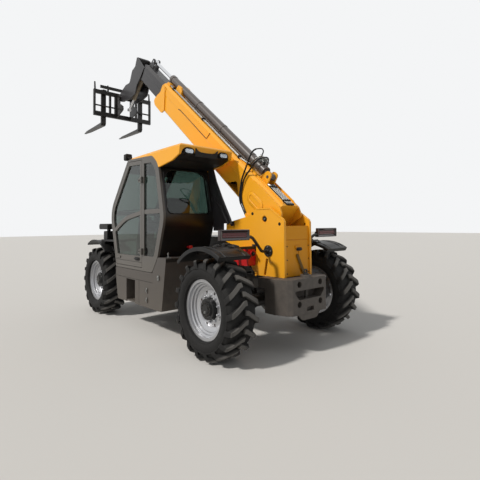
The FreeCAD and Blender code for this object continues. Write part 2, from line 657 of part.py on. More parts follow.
def cab_prism(inset, y0, y1):
    """The cab's side outline, drawn in by an inset, from y0 to y1."""
    face = side_face(cab_outline())
    if inset:
        face = face.makeOffset2D(-inset)
    face.translate(Vector(0, y0, 0))
    return face.extrude(Vector(0, y1 - y0, 0))


def window(inset, y0, y1, x0, x1, z0, z1):
    """Part of the cab's side, drawn in by an inset and cut to a box."""
    return cab_prism(inset, y0, y1).common(box(x0, x1, y0, y1, z0, z1))


def left_quarter(edge, y0, y1):
    """Window behind the door, drawn in by an edge."""
    return window(POST_WIDTH + edge, y0, y1, CAB_REAR_X, DOOR_REAR_X - 62 - edge, 1063 + edge, 2500)


def right_window(edge, y0, y1):
    return window(POST_WIDTH + edge, y0, y1, CAB_REAR_X, CAB_FRONT_X + 300, HOOD_TOP + 40 + edge, 2500)


def rear_window_outline(edge):
    y0, y1 = CAB_RIGHT + 60 + edge, CAB_LEFT - 70 - edge
    return [(y0, 1640 + edge, 60), (y1, 1640 + edge, 60), (y1, 2225 - edge, 170), (y0, 2225 - edge, 170)]


def screen_box(edge, level):
    """Room of the lower or upper windscreen."""
    z0, z1 = ((1010, 1650), (1710, 2350))[level]
    x0 = CAB_FRONT_X - (100, 330)[level]
    return box(x0, CAB_FRONT_X + 400, CAB_RIGHT + 60 + edge, CAB_LEFT - 60 - edge, z0 + edge, z1 - edge)


def make_cab():
    """Cab frame: hollow, open at its door and windows, with hinge brackets beside the door."""
    shell = cab_prism(0, CAB_RIGHT, CAB_LEFT)
    room = cab_prism(CAB_WALL, CAB_RIGHT + CAB_WALL, CAB_LEFT - CAB_WALL)
    left0, left1 = CAB_LEFT - CAB_WALL - 1, CAB_LEFT + 1
    rear = front_prism(rear_window_outline(0), CAB_REAR_X - 60, CAB_REAR_X + 400)
    shell = shell.cut(room)
    for opening in (left_quarter(0, left0, left1), rear, screen_box(0, 0), screen_box(0, 1),
                    window(DOOR_INSET, left0, left1, DOOR_REAR_X, CAB_FRONT_X + 300, 890, 2500),
                    right_window(0, CAB_RIGHT - 1, CAB_RIGHT + CAB_WALL + 1)):
        shell = shell.cut(opening)
    bar = box(CAB_REAR_X + 30, DOOR_REAR_X - 50, CAB_LEFT - CAB_WALL + 4, CAB_LEFT - 4, 1640, 1700)
    ears = [bar.common(cab_prism(CAB_WALL - 4, CAB_RIGHT, CAB_LEFT))]
    for z in HINGE_LEVELS:
        back = DOOR_REAR_X - 35
        ears.append(box(back, back + 15, CAB_LEFT - 2, HINGE_Y + 14, z - 44, z + 44))
        for low in (z - 44, z + 32):
            ears.append(box(back, DOOR_REAR_X + 12, CAB_LEFT + 6, HINGE_Y + 14, low, low + 12))
        ears.append(Part.makeCylinder(HINGE_PIN, 88, Vector(DOOR_REAR_X, HINGE_Y, z - 44)))
    return shell.multiFuse(ears)


def lamp_arch(y):
    """Arched room round a rear roof lamp."""
    return front_prism([(y - 104, 2250), (y + 104, 2250), (y + 104, 2440, 84), (y - 104, 2440, 84)],
                       CAB_REAR_X - 500, CAB_REAR_X - 349)


def make_roof():
    """Cap over the cab's roof, drawn out behind into a visor with an arch over each lamp."""
    rear, front = CAB_REAR_X, CAB_FRONT_X
    cap = side_prism([(rear + 140, 2246), (rear - 200, 2292, 90), (rear - 363, 2352, 20), (rear - 386, 2462, 24),
                      (rear - 344, 2488, 30), (rear + 330, 2505, 90), (front - 484, 2512, 20), (front - 444, 2400),
                      (rear + 400, 2300)], CAB_RIGHT, CAB_LEFT)
    crown = front_prism([(CAB_RIGHT, 2000), (CAB_LEFT, 2000), (CAB_LEFT, 2450), (CAB_LEFT - 80, 2512, 120),
                         (CAB_RIGHT + 80, 2512, 120), (CAB_RIGHT, 2470)], rear - 500, front)
    under = side_prism([(rear + 200, 2150), (rear - 350, 2250), (rear - 350, 2446), (rear + 300, 2460),
                        (rear + 300, 2390)], CAB_RIGHT + 22, CAB_LEFT - 22)
    cap = cap.common(crown).cut(cab_prism(-SEAT_GAP, CAB_RIGHT - 1, CAB_LEFT + 1)).cut(under)
    return cap.cut(Part.makeCompound([lamp_arch(y) for y in ROOF_LAMPS]))


def make_roof_liner():
    """Dark liner that closes the visor from below, with a flat face behind each lamp."""
    g, rear = SEAT_GAP, CAB_REAR_X
    liner = side_prism([(rear + 136, 2258), (rear - 200, 2304, 90), (rear - 350 + g, 2356, 14),
                        (rear - 350 + g, 2446 - g), (rear + 290, 2460 - 2 * g), (rear + 290, 2300)],
                       CAB_RIGHT + 22 + g, CAB_LEFT - 22 - g)
    return liner.cut(cab_prism(-2 * g, CAB_RIGHT - 1, CAB_LEFT + 1))


def make_work_lamps():
    """Two oval lamps under the visor, two on stalks on the roof's front and two on the front fenders."""
    lamps = []
    back = CAB_REAR_X - 350
    for y in ROOF_LAMPS:
        lamps.append(front_prism([(y - 74, 2358, 33), (y + 74, 2358, 33), (y + 74, 2428, 33), (y - 74, 2428, 33)],
                                 back - 34, back))
    x = CAB_FRONT_X - 290
    for y in (CAB_RIGHT + 90, CAB_LEFT - 80):
        head = front_prism([(y - 52, 2486, 20), (y + 52, 2486, 20), (y + 52, 2586, 20), (y - 52, 2586, 20)], x, x + 70)
        stem = box(x - 90, x - 66, y - 12, y + 12, 2380, 2530).fuse(box(x - 66, x + 4, y - 12, y + 12, 2506, 2530))
        lamps.append(head.fuse(stem).cut(cab_prism(-SEAT_GAP, CAB_RIGHT - 1, CAB_LEFT + 1)))
    deck = DECK_Z + SEAT_GAP
    first, last = WHEELBASE - 350, WHEELBASE + 10
    for side in (1, -1):
        y = side * (BODY_LEFT - 110)
        pod = side_prism([(first, deck + 168, 30), (last, deck + 168, 40), (last, deck + 262, 40),
                          (first, deck + 262, 30)], y - 90, y + 90)
        foot = side_prism([(first + 70, deck), (last - 140, deck), (last - 140, deck + 139, 30),
                           (first + 70, deck + 139, 30)], y - 64, y + 64)
        stem = box(first + 120, first + 200, y - 16, y + 16, deck + 100, deck + 180)
        lamps.append(pod.multiFuse([foot, stem]))
    return Part.makeCompound(lamps)


def make_seat(x, y):
    base = box(x - 180, x + 180, y - 170, y + 170, CAB_BOTTOM + CAB_WALL, 1180)
    cushion = side_prism([(x - 250, 1180, 20), (x + 250, 1180, 40), (x + 250, 1310, 50), (x - 250, 1290, 20)],
                         y - 240, y + 240)
    back = side_prism([(x - 180, 1285, 20), (x - 250, 1285), (x - 330, 1880, 30), (x - 230, 1880, 40)], y - 230, y + 230)
    rests = [box(x - 200, x + 120, y + side * 250 - 25, y + side * 250 + 25, 1400, 1440) for side in (1, -1)]
    posts = [box(x - 214, x - 170, y + side * 243 - 18, y + side * 243 + 18, 1290, 1420) for side in (1, -1)]
    return base.multiFuse([cushion, back] + rests + posts)


def make_console(y):
    """Steering column and wheel, the wheel leaning towards the seat."""
    x = CAB_FRONT_X - 344
    floor = CAB_BOTTOM + CAB_WALL
    column = side_prism([(x + 110, floor), (x + 290, floor), (x + 160, 1560, 30), (x + 40, 1560, 30)], y - 110, y + 110)
    turns = [math.radians(a) for a in range(0, 360, 60)]
    wheel = turned([(15 * math.sin(a), 180 + 15 * math.cos(a)) for a in turns], (0, 0, 0))
    wheel = wheel.fuse(box(-178, 178, -6, 6, -12, 12))
    wheel.rotate(Vector(0, 0, 0), Vector(1, 0, 0), 90)
    wheel.rotate(Vector(0, 0, 0), Vector(0, 1, 0), -math.degrees(math.atan(0.5)))
    wheel.translate(Vector(x, y, 1600))
    hub = Part.makeCylinder(30, 76, Vector(x + 35, y, 1540), Vector(-0.5, 0, 1))
    return column.multiFuse([wheel, hub])


def door_windows(edge, y0, y1):
    """The door's two windows, parted by a rail that falls towards the front."""
    area = window(DOOR_INSET + DOOR_GAP + WINDOW_FRAME + edge, y0, y1, DOOR_REAR_X + 56 + edge,
                  CAB_FRONT_X + 300, 1050 + edge, 2500)
    rear, front, bend = DOOR_REAR_X - 10, CAB_FRONT_X + 300, CAB_FRONT_X - 340
    rise = 1.2 * edge
    rail = side_prism([(rear, 1700 + rise), (bend, 1622 + rise, 900), (front, 1330 + rise), (front, 1262 - rise),
                       (bend, 1560 - rise, 900), (rear, 1640 - rise)], y0 - 1, y1 + 1)
    return area.cut(rail)


def make_door():
    y0, y1 = CAB_LEFT - CAB_WALL, CAB_LEFT
    panel = window(DOOR_INSET + DOOR_GAP, y0, y1, DOOR_REAR_X + DOOR_GAP, CAB_FRONT_X + 300, 896, 2500)
    crease = box(DOOR_REAR_X, CAB_FRONT_X + 100, y1 - SEAM, y1 + 1, 962, 962 + SEAM)
    door = panel.cut(door_windows(0, y0 - 1, y1 + 1)).cut(crease)
    for z in HINGE_LEVELS:
        sleeve = Part.makeCylinder(HINGE_OUT - 1, 63.4, Vector(DOOR_REAR_X, HINGE_Y, z - 31.7))
        strap = box(DOOR_REAR_X + DOOR_GAP + 2, DOOR_REAR_X + 75, y1 - 4, HINGE_Y + 4, z - 25, z + 25)
        bore = Part.makeCylinder(HINGE_PIN + RUNNING_FIT, 80, Vector(DOOR_REAR_X, HINGE_Y, z - 40))
        door = door.multiFuse([sleeve, strap]).cut(bore)
    x = CAB_FRONT_X - 110
    return door.fuse(box(x - 70, x + 70, y1 - 2, y1 + 12, 990, 1022))


def make_door_glass():
    mid = CAB_LEFT - CAB_WALL / 2
    return door_windows(GLASS_EDGE, mid - GLASS / 2, mid + GLASS / 2)


def make_cab_glass():
    """Quarter, right, rear and both front panes. Each lies in the middle of its wall."""
    left = CAB_LEFT - CAB_WALL / 2
    right = CAB_RIGHT + CAB_WALL / 2
    inset = (CAB_WALL - GLASS) / 2
    bar = box(CAB_REAR_X, DOOR_REAR_X, left - 9, left + 9, 1640 - GLASS_EDGE, 1700 + GLASS_EDGE)
    sheet = cab_prism(inset, CAB_RIGHT, CAB_LEFT).cut(cab_prism(inset + GLASS, CAB_RIGHT - 1, CAB_LEFT + 1))
    rear = front_prism(rear_window_outline(GLASS_EDGE), CAB_REAR_X - 60, CAB_REAR_X + 300)
    panes = [left_quarter(GLASS_EDGE, left - GLASS / 2, left + GLASS / 2).cut(bar),
             right_window(GLASS_EDGE, right - GLASS / 2, right + GLASS / 2), sheet.common(rear)]
    panes += [sheet.common(screen_box(GLASS_EDGE, level)) for level in (0, 1)]
    return Part.makeCompound(panes)


def add_cab(parts):
    middle = (CAB_LEFT + CAB_RIGHT) / 2
    parts["cab_shell"] = make_cab()
    parts["cab_roof"] = make_roof()
    parts["roof_liner"] = make_roof_liner()
    parts["work_lamps"] = make_work_lamps()
    parts["seat"] = make_seat(CAB_REAR_X + 636, middle)
    parts["steering_console"] = make_console(middle)
    parts["door_frame"] = make_door()
    parts["door_glass"] = make_door_glass()
    parts["cab_glass"] = make_cab_glass()


# Boom
def tube(half, bottom, top, shoulder, foot, crease, s0, s1):
    """Pressed box section along s: wide bends at the top, small ones below, a crease along each side."""
    right = [(half - shoulder, top), (half, top - shoulder), (half, crease + 12), (half - 4, crease),
             (half - 4, bottom + foot), (half - 4 - foot, bottom)]
    return front_prism(right + [(-y, n) for y, n in reversed(right)], s0, s1)


def make_cheek():
    """Doubler round the pivot, with an oblong pressed in it."""
    w = OUTER_HALF_WIDTH
    cheek = side_prism([(-165, 180, 50), (-53, 240, 20), (340, 240, 60), (560, 222, 90), (622, 97, 120),
                        (553, -116, 120), (437, -163, 60), (320, -226, 60), (-40, -190, 140)], w - 6, w + DOUBLER)
    hole = side_prism([(190, -18, 44), (452, -18, 44), (452, 74, 44), (190, 74, 44)], w + DOUBLER - 8, w + DOUBLER + 1)
    return cheek.cut(hole)


def make_collar():
    """Side plate at the outer boom's mouth, with its lower lobe, and a band behind it."""
    w, top, front = OUTER_HALF_WIDTH, OUTER_TOP, OUTER_FRONT
    plate = side_prism([(front - 95, top - 40), (front, top - 40, 20), (front, 75, 40), (front + 67, -14, 50),
                        (front + 132, -143, 50), (front + 30, -196, 50), (front - 276, -201, 60),
                        (front - 330, OUTER_BOTTOM + 26)], w - 6, w + DOUBLER)
    band = box(front - 150, front - 120, w - 6, w + 7, OUTER_BOTTOM + 26, top - 40)
    return plate.fuse(band)


def make_boom():
    """Outer boom with its pivot pin, cheeks, collar, side sheets and the extension cylinder's brackets."""
    w, t, top, bottom = OUTER_HALF_WIDTH, OUTER_WALL, OUTER_TOP, OUTER_BOTTOM
    body = tube(w, bottom, top, 36, 22, 96, -60, OUTER_FRONT)
    body = body.cut(tube(w - t, bottom + t, top - t, 32, 18, 92, 180, OUTER_FRONT + 10))
    body = body.cut(side_prism([(660, bottom + 30), (780, 6, 14), (820, 6, 14), (960, bottom + 30)], -w - 1, w + 1))
    sheet = side_prism([(1775, 126, 10), (2765, 130, 10), (2740, top - 40, 20), (1760, top - 40, 20)], w - 6, w + 5)
    halves = [make_cheek(), make_collar(), sheet]
    halves += [side_prism([(340, bottom + 2), (LIFT_HIGH[0] - 45, LIFT_HIGH[1] - 46, 30),
                           (LIFT_HIGH[0] + 45, LIFT_HIGH[1] - 46, 30), (600, bottom + 2)], 50, 74)]
    ears = side_prism([(TELE_REAR_S - 60, top - 2), (TELE_REAR_S - 40, 412, 40), (TELE_REAR_S + 44, 412, 40),
                       (TELE_REAR_S + 130, top - 2)], 46, 66)
    halves.append(ears.cut(rod((TELE_REAR_S, 0, TELE_N), (TELE_REAR_S, 90, TELE_N), TELE_PIN_RADIUS + RUNNING_FIT)))
    halves.append(side_prism([(-50, top - 1), (20, top + 24, 20), (1000, top + 24, 20), (1060, top - 1)], 104, 116))
    pin = rod((0, -MAST_OUTER_Y + 9, 0), (0, MAST_OUTER_Y - 9, 0), PIVOT_PIN_RADIUS)
    saddle = side_prism([(3010, top - 1), (3034, 350, 30), (3090, 386, 40), (3200, 386, 40), (3240, top - 1)], -92, 92)
    saddle = saddle.cut(rod((2900, 0, TELE_N), (3400, 0, TELE_N), TELE_RADIUS + SEAT_GAP))
    front = side_prism([(OUTER_FRONT - 130, top - 1), (OUTER_FRONT - 130, top + 40, 14),
                        (OUTER_FRONT - 30, top + 40, 14), (OUTER_FRONT - 10, top - 1)], -120, 120)
    front = front.cut(rod((3300, 0, TELE_N), (3600, 0, TELE_N), TELE_RADIUS + 14))
    end = side_prism([(290, -222, 10), (352, -222, 10), (352, -176, 10), (290, -176, 10)],
                     w + DOUBLER - 2, HOSE_Y + HOSE_RADIUS + 2)
    body = body.multiFuse(halves + [mirrored(s) for s in halves] + [pin, saddle, front, end])
    return to_boom(body)


def make_wear_pads():
    """Slide pads round the boom's mouth, standing a little out of it."""
    w = OUTER_HALF_WIDTH - OUTER_WALL
    start, end = OUTER_FRONT - 105, OUTER_FRONT + 36
    inner = INNER_HALF_WIDTH + PAD_FIT
    g = SEAT_GAP
    sides = [box(start, end, inner, w - g, 112, 176), box(start, end, -w + g, -inner, 112, 176)]
    flats = [box(start, end, -80, 80, OUTER_BOTTOM + OUTER_WALL + g, INNER_BOTTOM - PAD_FIT),
             box(start, end, -80, 80, INNER_TOP + PAD_FIT, OUTER_TOP - OUTER_WALL - g)]
    return to_boom(Part.makeCompound(sides + flats))


def make_tele_barrel():
    """Extension cylinder on the boom, with its base pin, clamp bands, two pipes and its ports."""
    body = Part.makeCylinder(TELE_RADIUS, TELE_FRONT_S - 560, Vector(560, 0, TELE_N), Vector(1, 0, 0))
    adds = [rod((TELE_FRONT_S - 70, 0, TELE_N), (TELE_FRONT_S, 0, TELE_N), TELE_RADIUS + 6),
            box(TELE_REAR_S, 600, -40, 40, TELE_N - 30, TELE_N + 30),
            rod((TELE_REAR_S, -40, TELE_N), (TELE_REAR_S, 40, TELE_N), 44),
            rod((TELE_REAR_S, -74, TELE_N), (TELE_REAR_S, 74, TELE_N), TELE_PIN_RADIUS)]
    for s in (900, 1700, 2500):
        adds.append(rod((s, 0, TELE_N), (s + 34, 0, TELE_N), TELE_RADIUS + 5))
        adds.append(box(s, s + 34, -78, 78, TELE_N - 66, TELE_N - 36))
    for y in (66, -66):
        adds.append(rod((830, y, TELE_N - 52), (2900, y, TELE_N - 52), 10))
    for s, n in TELE_PORTS:
        adds.append(rod((s, 0, TELE_N + 40), (s, 0, n), 20))
    bore = Part.makeCylinder(TELE_ROD_RADIUS + RUNNING_FIT, TELE_FRONT_S - 600,
                             Vector(660, 0, TELE_N), Vector(1, 0, 0))
    return to_boom(body.multiFuse(adds).cut(bore))


def make_boom_pipes():
    """Row of five pipes along the boom's rear top, in two clamp bars, with a union on each end."""
    n = OUTER_TOP + 14 + SEAT_GAP
    pitch = 24
    pieces = [box(s, s + 26, -64, 64, OUTER_TOP + SEAT_GAP, n + 12) for s in (-40, 320)]
    for i in range(-2, 3):
        pieces.append(rod((-50, i * pitch, n), (372, i * pitch, n), 9))
        pieces.append(rod((-58, i * pitch, n), (-44, i * pitch, n), 11))
    return to_boom(fused(pieces))


def hose_route(port, shift):
    """Hose from a port on the extension cylinder over the boom's left edge and down beside it."""
    s, n = port
    return [(s, 0, n + SEAT_GAP), (s, 0, n + 110), (s + 10, HOSE_Y, n + 60 - shift), (706 - shift, HOSE_Y, 110),
            (580 - shift, HOSE_Y, -130 + shift), (358, HOSE_Y, -210 + shift)]


def make_boom_hoses():
    hoses = [pipe(hose_route(port, shift), HOSE_RADIUS, HOSE_BEND) for port, shift in zip(TELE_PORTS, (0, 24))]
    return to_boom(Part.makeCompound(hoses))


def make_inner():
    w = INNER_HALF_WIDTH
    body = tube(w, INNER_BOTTOM, INNER_TOP, 46, 34, 78, INNER_REAR, INNER_FRONT)
    room = tube(w - 10, INNER_BOTTOM + 10, INNER_TOP - 10, 42, 30, 74, INNER_REAR - 10, INNER_FRONT - 20)
    return to_boom(body.cut(room))


def make_tele_rod():
    shaft = Part.makeCylinder(TELE_ROD_RADIUS, TELE_EYE_S - 1500, Vector(1500, 0, TELE_N), Vector(1, 0, 0))
    eye = rod((TELE_EYE_S, -35, TELE_N), (TELE_EYE_S, 35, TELE_N), 44)
    pin = rod((TELE_EYE_S, -66, TELE_N), (TELE_EYE_S, 66, TELE_N), TELE_PIN_RADIUS)
    return to_boom(shaft.multiFuse([eye, pin]))


def make_head():
    """Gooseneck: two side plates, a cover between them and a tray below, open where the tilt cylinder lies."""
    outline = [(3300, 4560), (3600, 4884, 20), (3690, 4715, 30), (3828, 4671, 30), (3950, 4455, 60),
               (4130, 4462, 60), (4367, 4382, 30), (4480, 4290, 40), (4380, 4170, 40), (4264, 4137, 60),
               (3969, 4120, 60), (3690, 4170, 40), (3622, 4319, 80), (3468, 4415, 60)]
    plates = [side_prism(outline, y, y + 22) for y in (118, -140)]
    cover = side_prism([(3600, 4880), (3690, 4715), (3828, 4671), (3950, 4455), (4130, 4462), (4200, 4430),
                        (4190, 4410), (4120, 4438), (3940, 4430), (3808, 4652), (3672, 4690), (3585, 4850)],
                       -120, 120)
    boss_start = TILT_RADIUS + 5
    bosses = [rod(at(TILT_TOP, side * boss_start), at(TILT_TOP, side * 120), 34) for side in (1, -1)]
    root = to_boom(box(INNER_FRONT, INNER_FRONT + 60, -120, 120, INNER_BOTTOM + 20, INNER_TOP - 20))
    rod_lug = side_prism([(TELE_EYE_S - 60, INNER_TOP - 1), (TELE_EYE_S - 45, 396, 40),
                          (TELE_EYE_S + 42, 396, 40), (4520, INNER_TOP - 40)], 40, 60)
    rod_lug = to_boom(rod_lug.cut(rod((TELE_EYE_S, 0, TELE_N), (TELE_EYE_S, 90, TELE_N), TELE_PIN_RADIUS + RUNNING_FIT)))
    boss = rod(at(CARRIAGE_PIVOT, 112), at(CARRIAGE_PIVOT, 143), 58)
    head = plates[0].multiFuse([plates[1], cover, root, rod_lug, mirrored(rod_lug), boss, mirrored(boss)] + bosses)
    px, pz = CARRIAGE_PIVOT
    bore = rod((px, -200, pz), (px, 200, pz), CARRIAGE_PIN_RADIUS + RUNNING_FIT)
    pin_hole = rod(at(TILT_TOP, -102), at(TILT_TOP, 102), TILT_PIN_RADIUS + RUNNING_FIT)
    inner = to_boom(tube(INNER_HALF_WIDTH, INNER_BOTTOM, INNER_TOP, 46, 34, 78, INNER_REAR, INNER_FRONT))
    return head.cut(Part.makeCompound([inner, bore])).cut(pin_hole)


def cylinder_barrel(low, high, radius, length, bore, eye_half):
    """Barrel with its base eye at low, pointing at high, and a gland at its open end."""
    body = rod(at(between(low, high, radius * 0.5)), at(between(low, high, length)), radius)
    gland = rod(at(between(low, high, length - radius)), at(between(low, high, length)), radius + 4)
    eye = rod(at(low, -eye_half), at(low, eye_half), radius * 0.8)
    inside = rod(at(between(low, high, radius * 1.05)), at(between(low, high, length + 10)), bore)
    return body.multiFuse([eye, gland]).cut(inside)


def cylinder_rod(low, high, radius, length, eye_half):
    """Rod with its eye at high, reaching back towards low."""
    shaft = rod(at(between(high, low, length)), at(high), radius)
    return shaft.fuse(rod(at(high, -eye_half), at(high, eye_half), radius * 1.45))


def add_boom(parts):
    parts["boom_outer"] = make_boom()
    parts["wear_pads"] = make_wear_pads()
    parts["boom_pipes"] = make_boom_pipes()
    parts["boom_hoses"] = make_boom_hoses()
    parts["boom_inner"] = make_inner()
    parts["boom_head"] = make_head()
    parts["tele_barrel"] = make_tele_barrel()
    parts["tele_rod"] = make_tele_rod()
    high = boom_point(*LIFT_HIGH)
    barrel = cylinder_barrel(LIFT_LOW, high, LIFT_RADIUS, LIFT_BARREL, LIFT_ROD_RADIUS + RUNNING_FIT, 46)
    pin_end = LIFT_RADIUS + 33
    parts["lift_barrel"] = barrel.fuse(rod(at(LIFT_LOW, -pin_end), at(LIFT_LOW, pin_end), LIFT_PIN_RADIUS))
    parts["lift_rod"] = cylinder_rod(LIFT_LOW, high, LIFT_ROD_RADIUS, LIFT_ROD, 40)
    barrel = cylinder_barrel(TILT_TOP, TILT_EYE, TILT_RADIUS, TILT_BARREL, TILT_ROD_RADIUS + RUNNING_FIT, 34)
    parts["tilt_barrel"] = barrel.fuse(rod(at(TILT_TOP, -100), at(TILT_TOP, 100), TILT_PIN_RADIUS))
    parts["tilt_rod"] = cylinder_rod(TILT_TOP, TILT_EYE, TILT_ROD_RADIUS, TILT_ROD, 30)


# Carriage
def make_carriage():
    """Frame of rails and posts on two tilt plates, with pointed uprights and an upper bar."""
    x0, x1 = RAIL_X, RAIL_X + RAIL_THICK
    half = CARRIAGE_HALF
    px, pz = CARRIAGE_PIVOT
    low, top = (3835, 3925), (4310, 4390)
    pieces = [box(x0, x1, -half, half, *top), box(x0, x1, -half, half, *low)]
    tilt_plate = [(px - 50, pz + 20, 30), (px, pz + 60, 30), (x0 + 5, 4380), (x0 + 5, 3850),
                  (TILT_EYE[0] + 20, TILT_EYE[1] - 60, 20), (TILT_EYE[0] - 50, TILT_EYE[1] - 30, 30),
                  (TILT_EYE[0] - 30, TILT_EYE[1] + 50, 20), (px - 10, pz - 120)]
    for side in (1, -1):
        pieces += [box(x0, x1, side * y - 18, side * y + 18, low[0], top[1]) for y in (half - 18, 300, 180)]
        pieces.append(side_prism(tilt_plate, side * 156 - 10, side * 156 + 10))
        pieces.append(rod((px, side * 164, pz), (px, side * 180, pz), 46))
        for y, height in ((half - 28, 4556), (FORK_Y - FORK_WIDTH + 20, 4530)):
            pieces.append(side_prism([(x0 + 4, top[0]), (x1 - 4, top[0]), (x1 - 4, height), (x0 + 30, height),
                                      (x0 + 4, top[1])], side * y - 12, side * y + 12))
        pieces.append(rod((x0 + 28, side * 180, 4060), (x0 + 28, side * (half - 18), 4060), 16))
    pieces.append(box(x0 + 18, x1 - 8, -510, 510, 4446, 4506))
    pieces.append(rod((px, -172, pz), (px, 172, pz), CARRIAGE_PIN_RADIUS))
    return fused(pieces)


def make_forks():
    """Forks hung on the top rail, each blade tapered to its tip."""
    heel_x = RAIL_X + RAIL_THICK + MOVE_GAP
    y0, y1 = FORK_Y - FORK_WIDTH / 2, FORK_Y + FORK_WIDTH / 2
    tip = heel_x + FORK_LENGTH
    fork = side_prism([(heel_x, 4424, 12), (heel_x + 40, 4424, 12), (heel_x + 48, 3712, 20), (tip, 3690), (tip, 3680),
                       (heel_x, 3650, 60)], y0, y1)
    taper = plan_prism([(heel_x - 1, y0), (tip - 260, y0), (tip + 1, y0 + 34), (tip + 1, y1 - 34), (tip - 260, y1),
                        (heel_x - 1, y1)], 3600, 4500)
    hook = box(RAIL_X + 6, heel_x + 10, y0 + 12, y1 - 12, 4390 + SEAT_GAP, 4412)
    return both_sides(fork.common(taper).fuse(hook))


def build():
    parts = {}
    add_wheels(parts)
    parts["chassis_frame"] = make_frame()
    parts["mast"] = make_mast()
    parts["rear_panel"] = make_rear_panel()
    parts["counterweight"] = make_ballast()
    parts["tow_pin"] = make_tow_pin()
    parts["side_box"] = make_side_box()
    parts["engine_hood"] = make_engine_hood()
    parts["engine_block"] = make_engine()
    parts["exhaust"] = make_exhaust()
    parts["service_box"] = make_service_box()
    parts["rear_fenders"] = make_rear_fenders()
    parts["front_fenders"] = make_front_fenders()
    parts["tail_lamps"] = make_tail_lamps()
    parts["lamp_arms"] = make_lamp_arms()
    add_cab(parts)
    add_boom(parts)
    parts["carriage"] = make_carriage()
    parts["forks"] = make_forks()
    return parts


def main():
    parts = build()
    boxes = [shape.BoundBox for shape in parts.values()]
    middle = (min(b.XMin for b in boxes) + max(b.XMax for b in boxes)) / 2
    ground = min(b.ZMin for b in boxes)
    os.makedirs("parts", exist_ok=True)
    for name in sorted(parts):
        shape = parts[name]
        shape.translate(Vector(-middle, 0, -ground))
        shape.exportStep(os.path.join("parts", name + ".step"))
        print(name, "solids", len(shape.Solids), "valid", shape.isValid(), "litres", round(shape.Volume / 1e6, 1))
    print("moved by", round(-middle, 3), round(-ground, 3))


if __name__ == "__main__":
    main()
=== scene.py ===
# %% [markdown]
# # A telehandler, dressed for its picture
# A telehandler is a farm and site machine with one long telescopic boom beside its cab. Its steel
# pieces are loaded as they were built, at their real size in metres, and this lesson gives them
# their paint, rubber, glass and chrome, then adds the soft and small things that a steel shop does
# not make: cushions, hoses, seals, bolts.

# %% Load the frame and measure it
import math
import bmesh
import bpy
from mathutils import Matrix, Vector


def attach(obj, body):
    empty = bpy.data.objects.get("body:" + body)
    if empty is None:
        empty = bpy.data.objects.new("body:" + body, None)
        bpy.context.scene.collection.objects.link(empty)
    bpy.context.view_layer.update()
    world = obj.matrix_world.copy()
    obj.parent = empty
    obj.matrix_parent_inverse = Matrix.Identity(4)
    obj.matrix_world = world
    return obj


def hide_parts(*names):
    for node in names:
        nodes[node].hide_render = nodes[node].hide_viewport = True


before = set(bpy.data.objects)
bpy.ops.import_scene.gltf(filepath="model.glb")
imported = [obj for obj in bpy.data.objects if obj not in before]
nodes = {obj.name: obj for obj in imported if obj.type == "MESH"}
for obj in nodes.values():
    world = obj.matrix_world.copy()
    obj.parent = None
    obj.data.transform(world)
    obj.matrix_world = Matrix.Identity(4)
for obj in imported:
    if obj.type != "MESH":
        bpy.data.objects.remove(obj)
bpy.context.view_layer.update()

print("pieces in the frame:", len(nodes))

# %% [markdown]
# ## Placing things along the boom
# The boom stands at 39.8 degrees. Everything on it is easier to place by the distance along the
# boom from its pivot, s, and the height above its centre line, n. One function turns such a pair
# into a point in space, so no hose or bolt needs a slanted coordinate of its own.

# %% Boom directions
MM = 0.001
BOOM_ANGLE = math.radians(39.8)
BOOM_PIVOT = Vector((-2.681, 0.0, 1.5479))
ALONG = Vector((math.cos(BOOM_ANGLE), 0.0, math.sin(BOOM_ANGLE)))
OUTWARD = Vector((-math.sin(BOOM_ANGLE), 0.0, math.cos(BOOM_ANGLE)))
SIDEWAYS = Vector((0.0, 1.0, 0.0))


def on_boom(s, y, n):
    """Point s mm along the boom from its pivot, y mm to the left and n mm above its middle."""
    return BOOM_PIVOT + (ALONG * s + SIDEWAYS * y + OUTWARD * n) * MM


def shown(place):
    """A place in metres, rounded for printing."""
    return [round(v, 3) for v in place]


print("boom tip:", shown(on_boom(4500, 0, 0)))

# %% [markdown]
# ## The camera
# The picture was taken by someone standing behind the machine's left rear wheel, with the camera at
# chest height. A camera could be aimed by a constraint, but three angles and a place are easier to
# check. The optical axis met the picture above its middle, as it does in a picture that was
# cropped, and that is what the lens shift is for.

# %% Place the camera
CAMERA_PLACE = Vector((-5.9526, 3.4946, 1.4753))
CAMERA_YAW = math.radians(-41.157)
CAMERA_PITCH = math.radians(1.779)
CAMERA_ROLL = math.radians(-0.482)
SENSOR_WIDTH = 36.0
FOCAL_LENGTH = 28.116
LENS_SHIFT = (-0.00104, -0.0552)

forward = Vector((math.cos(CAMERA_YAW) * math.cos(CAMERA_PITCH),
                  math.sin(CAMERA_YAW) * math.cos(CAMERA_PITCH), math.sin(CAMERA_PITCH)))
level_right = Vector((math.sin(CAMERA_YAW), -math.cos(CAMERA_YAW), 0.0))
level_up = level_right.cross(forward)
right = level_right * math.cos(CAMERA_ROLL) + level_up * math.sin(CAMERA_ROLL)
up = level_up * math.cos(CAMERA_ROLL) - level_right * math.sin(CAMERA_ROLL)

camera_data = bpy.data.cameras.new("camera")
camera_data.sensor_width = SENSOR_WIDTH
camera_data.lens = FOCAL_LENGTH
camera_data.shift_x, camera_data.shift_y = LENS_SHIFT
camera = bpy.data.objects.new("camera", camera_data)
camera_turn = Matrix((right, up, -forward)).transposed().to_4x4()
camera.matrix_world = Matrix.Translation(CAMERA_PLACE) @ camera_turn
bpy.context.scene.collection.objects.link(camera)
bpy.context.scene.camera = camera
print("camera height:", CAMERA_PLACE.z)

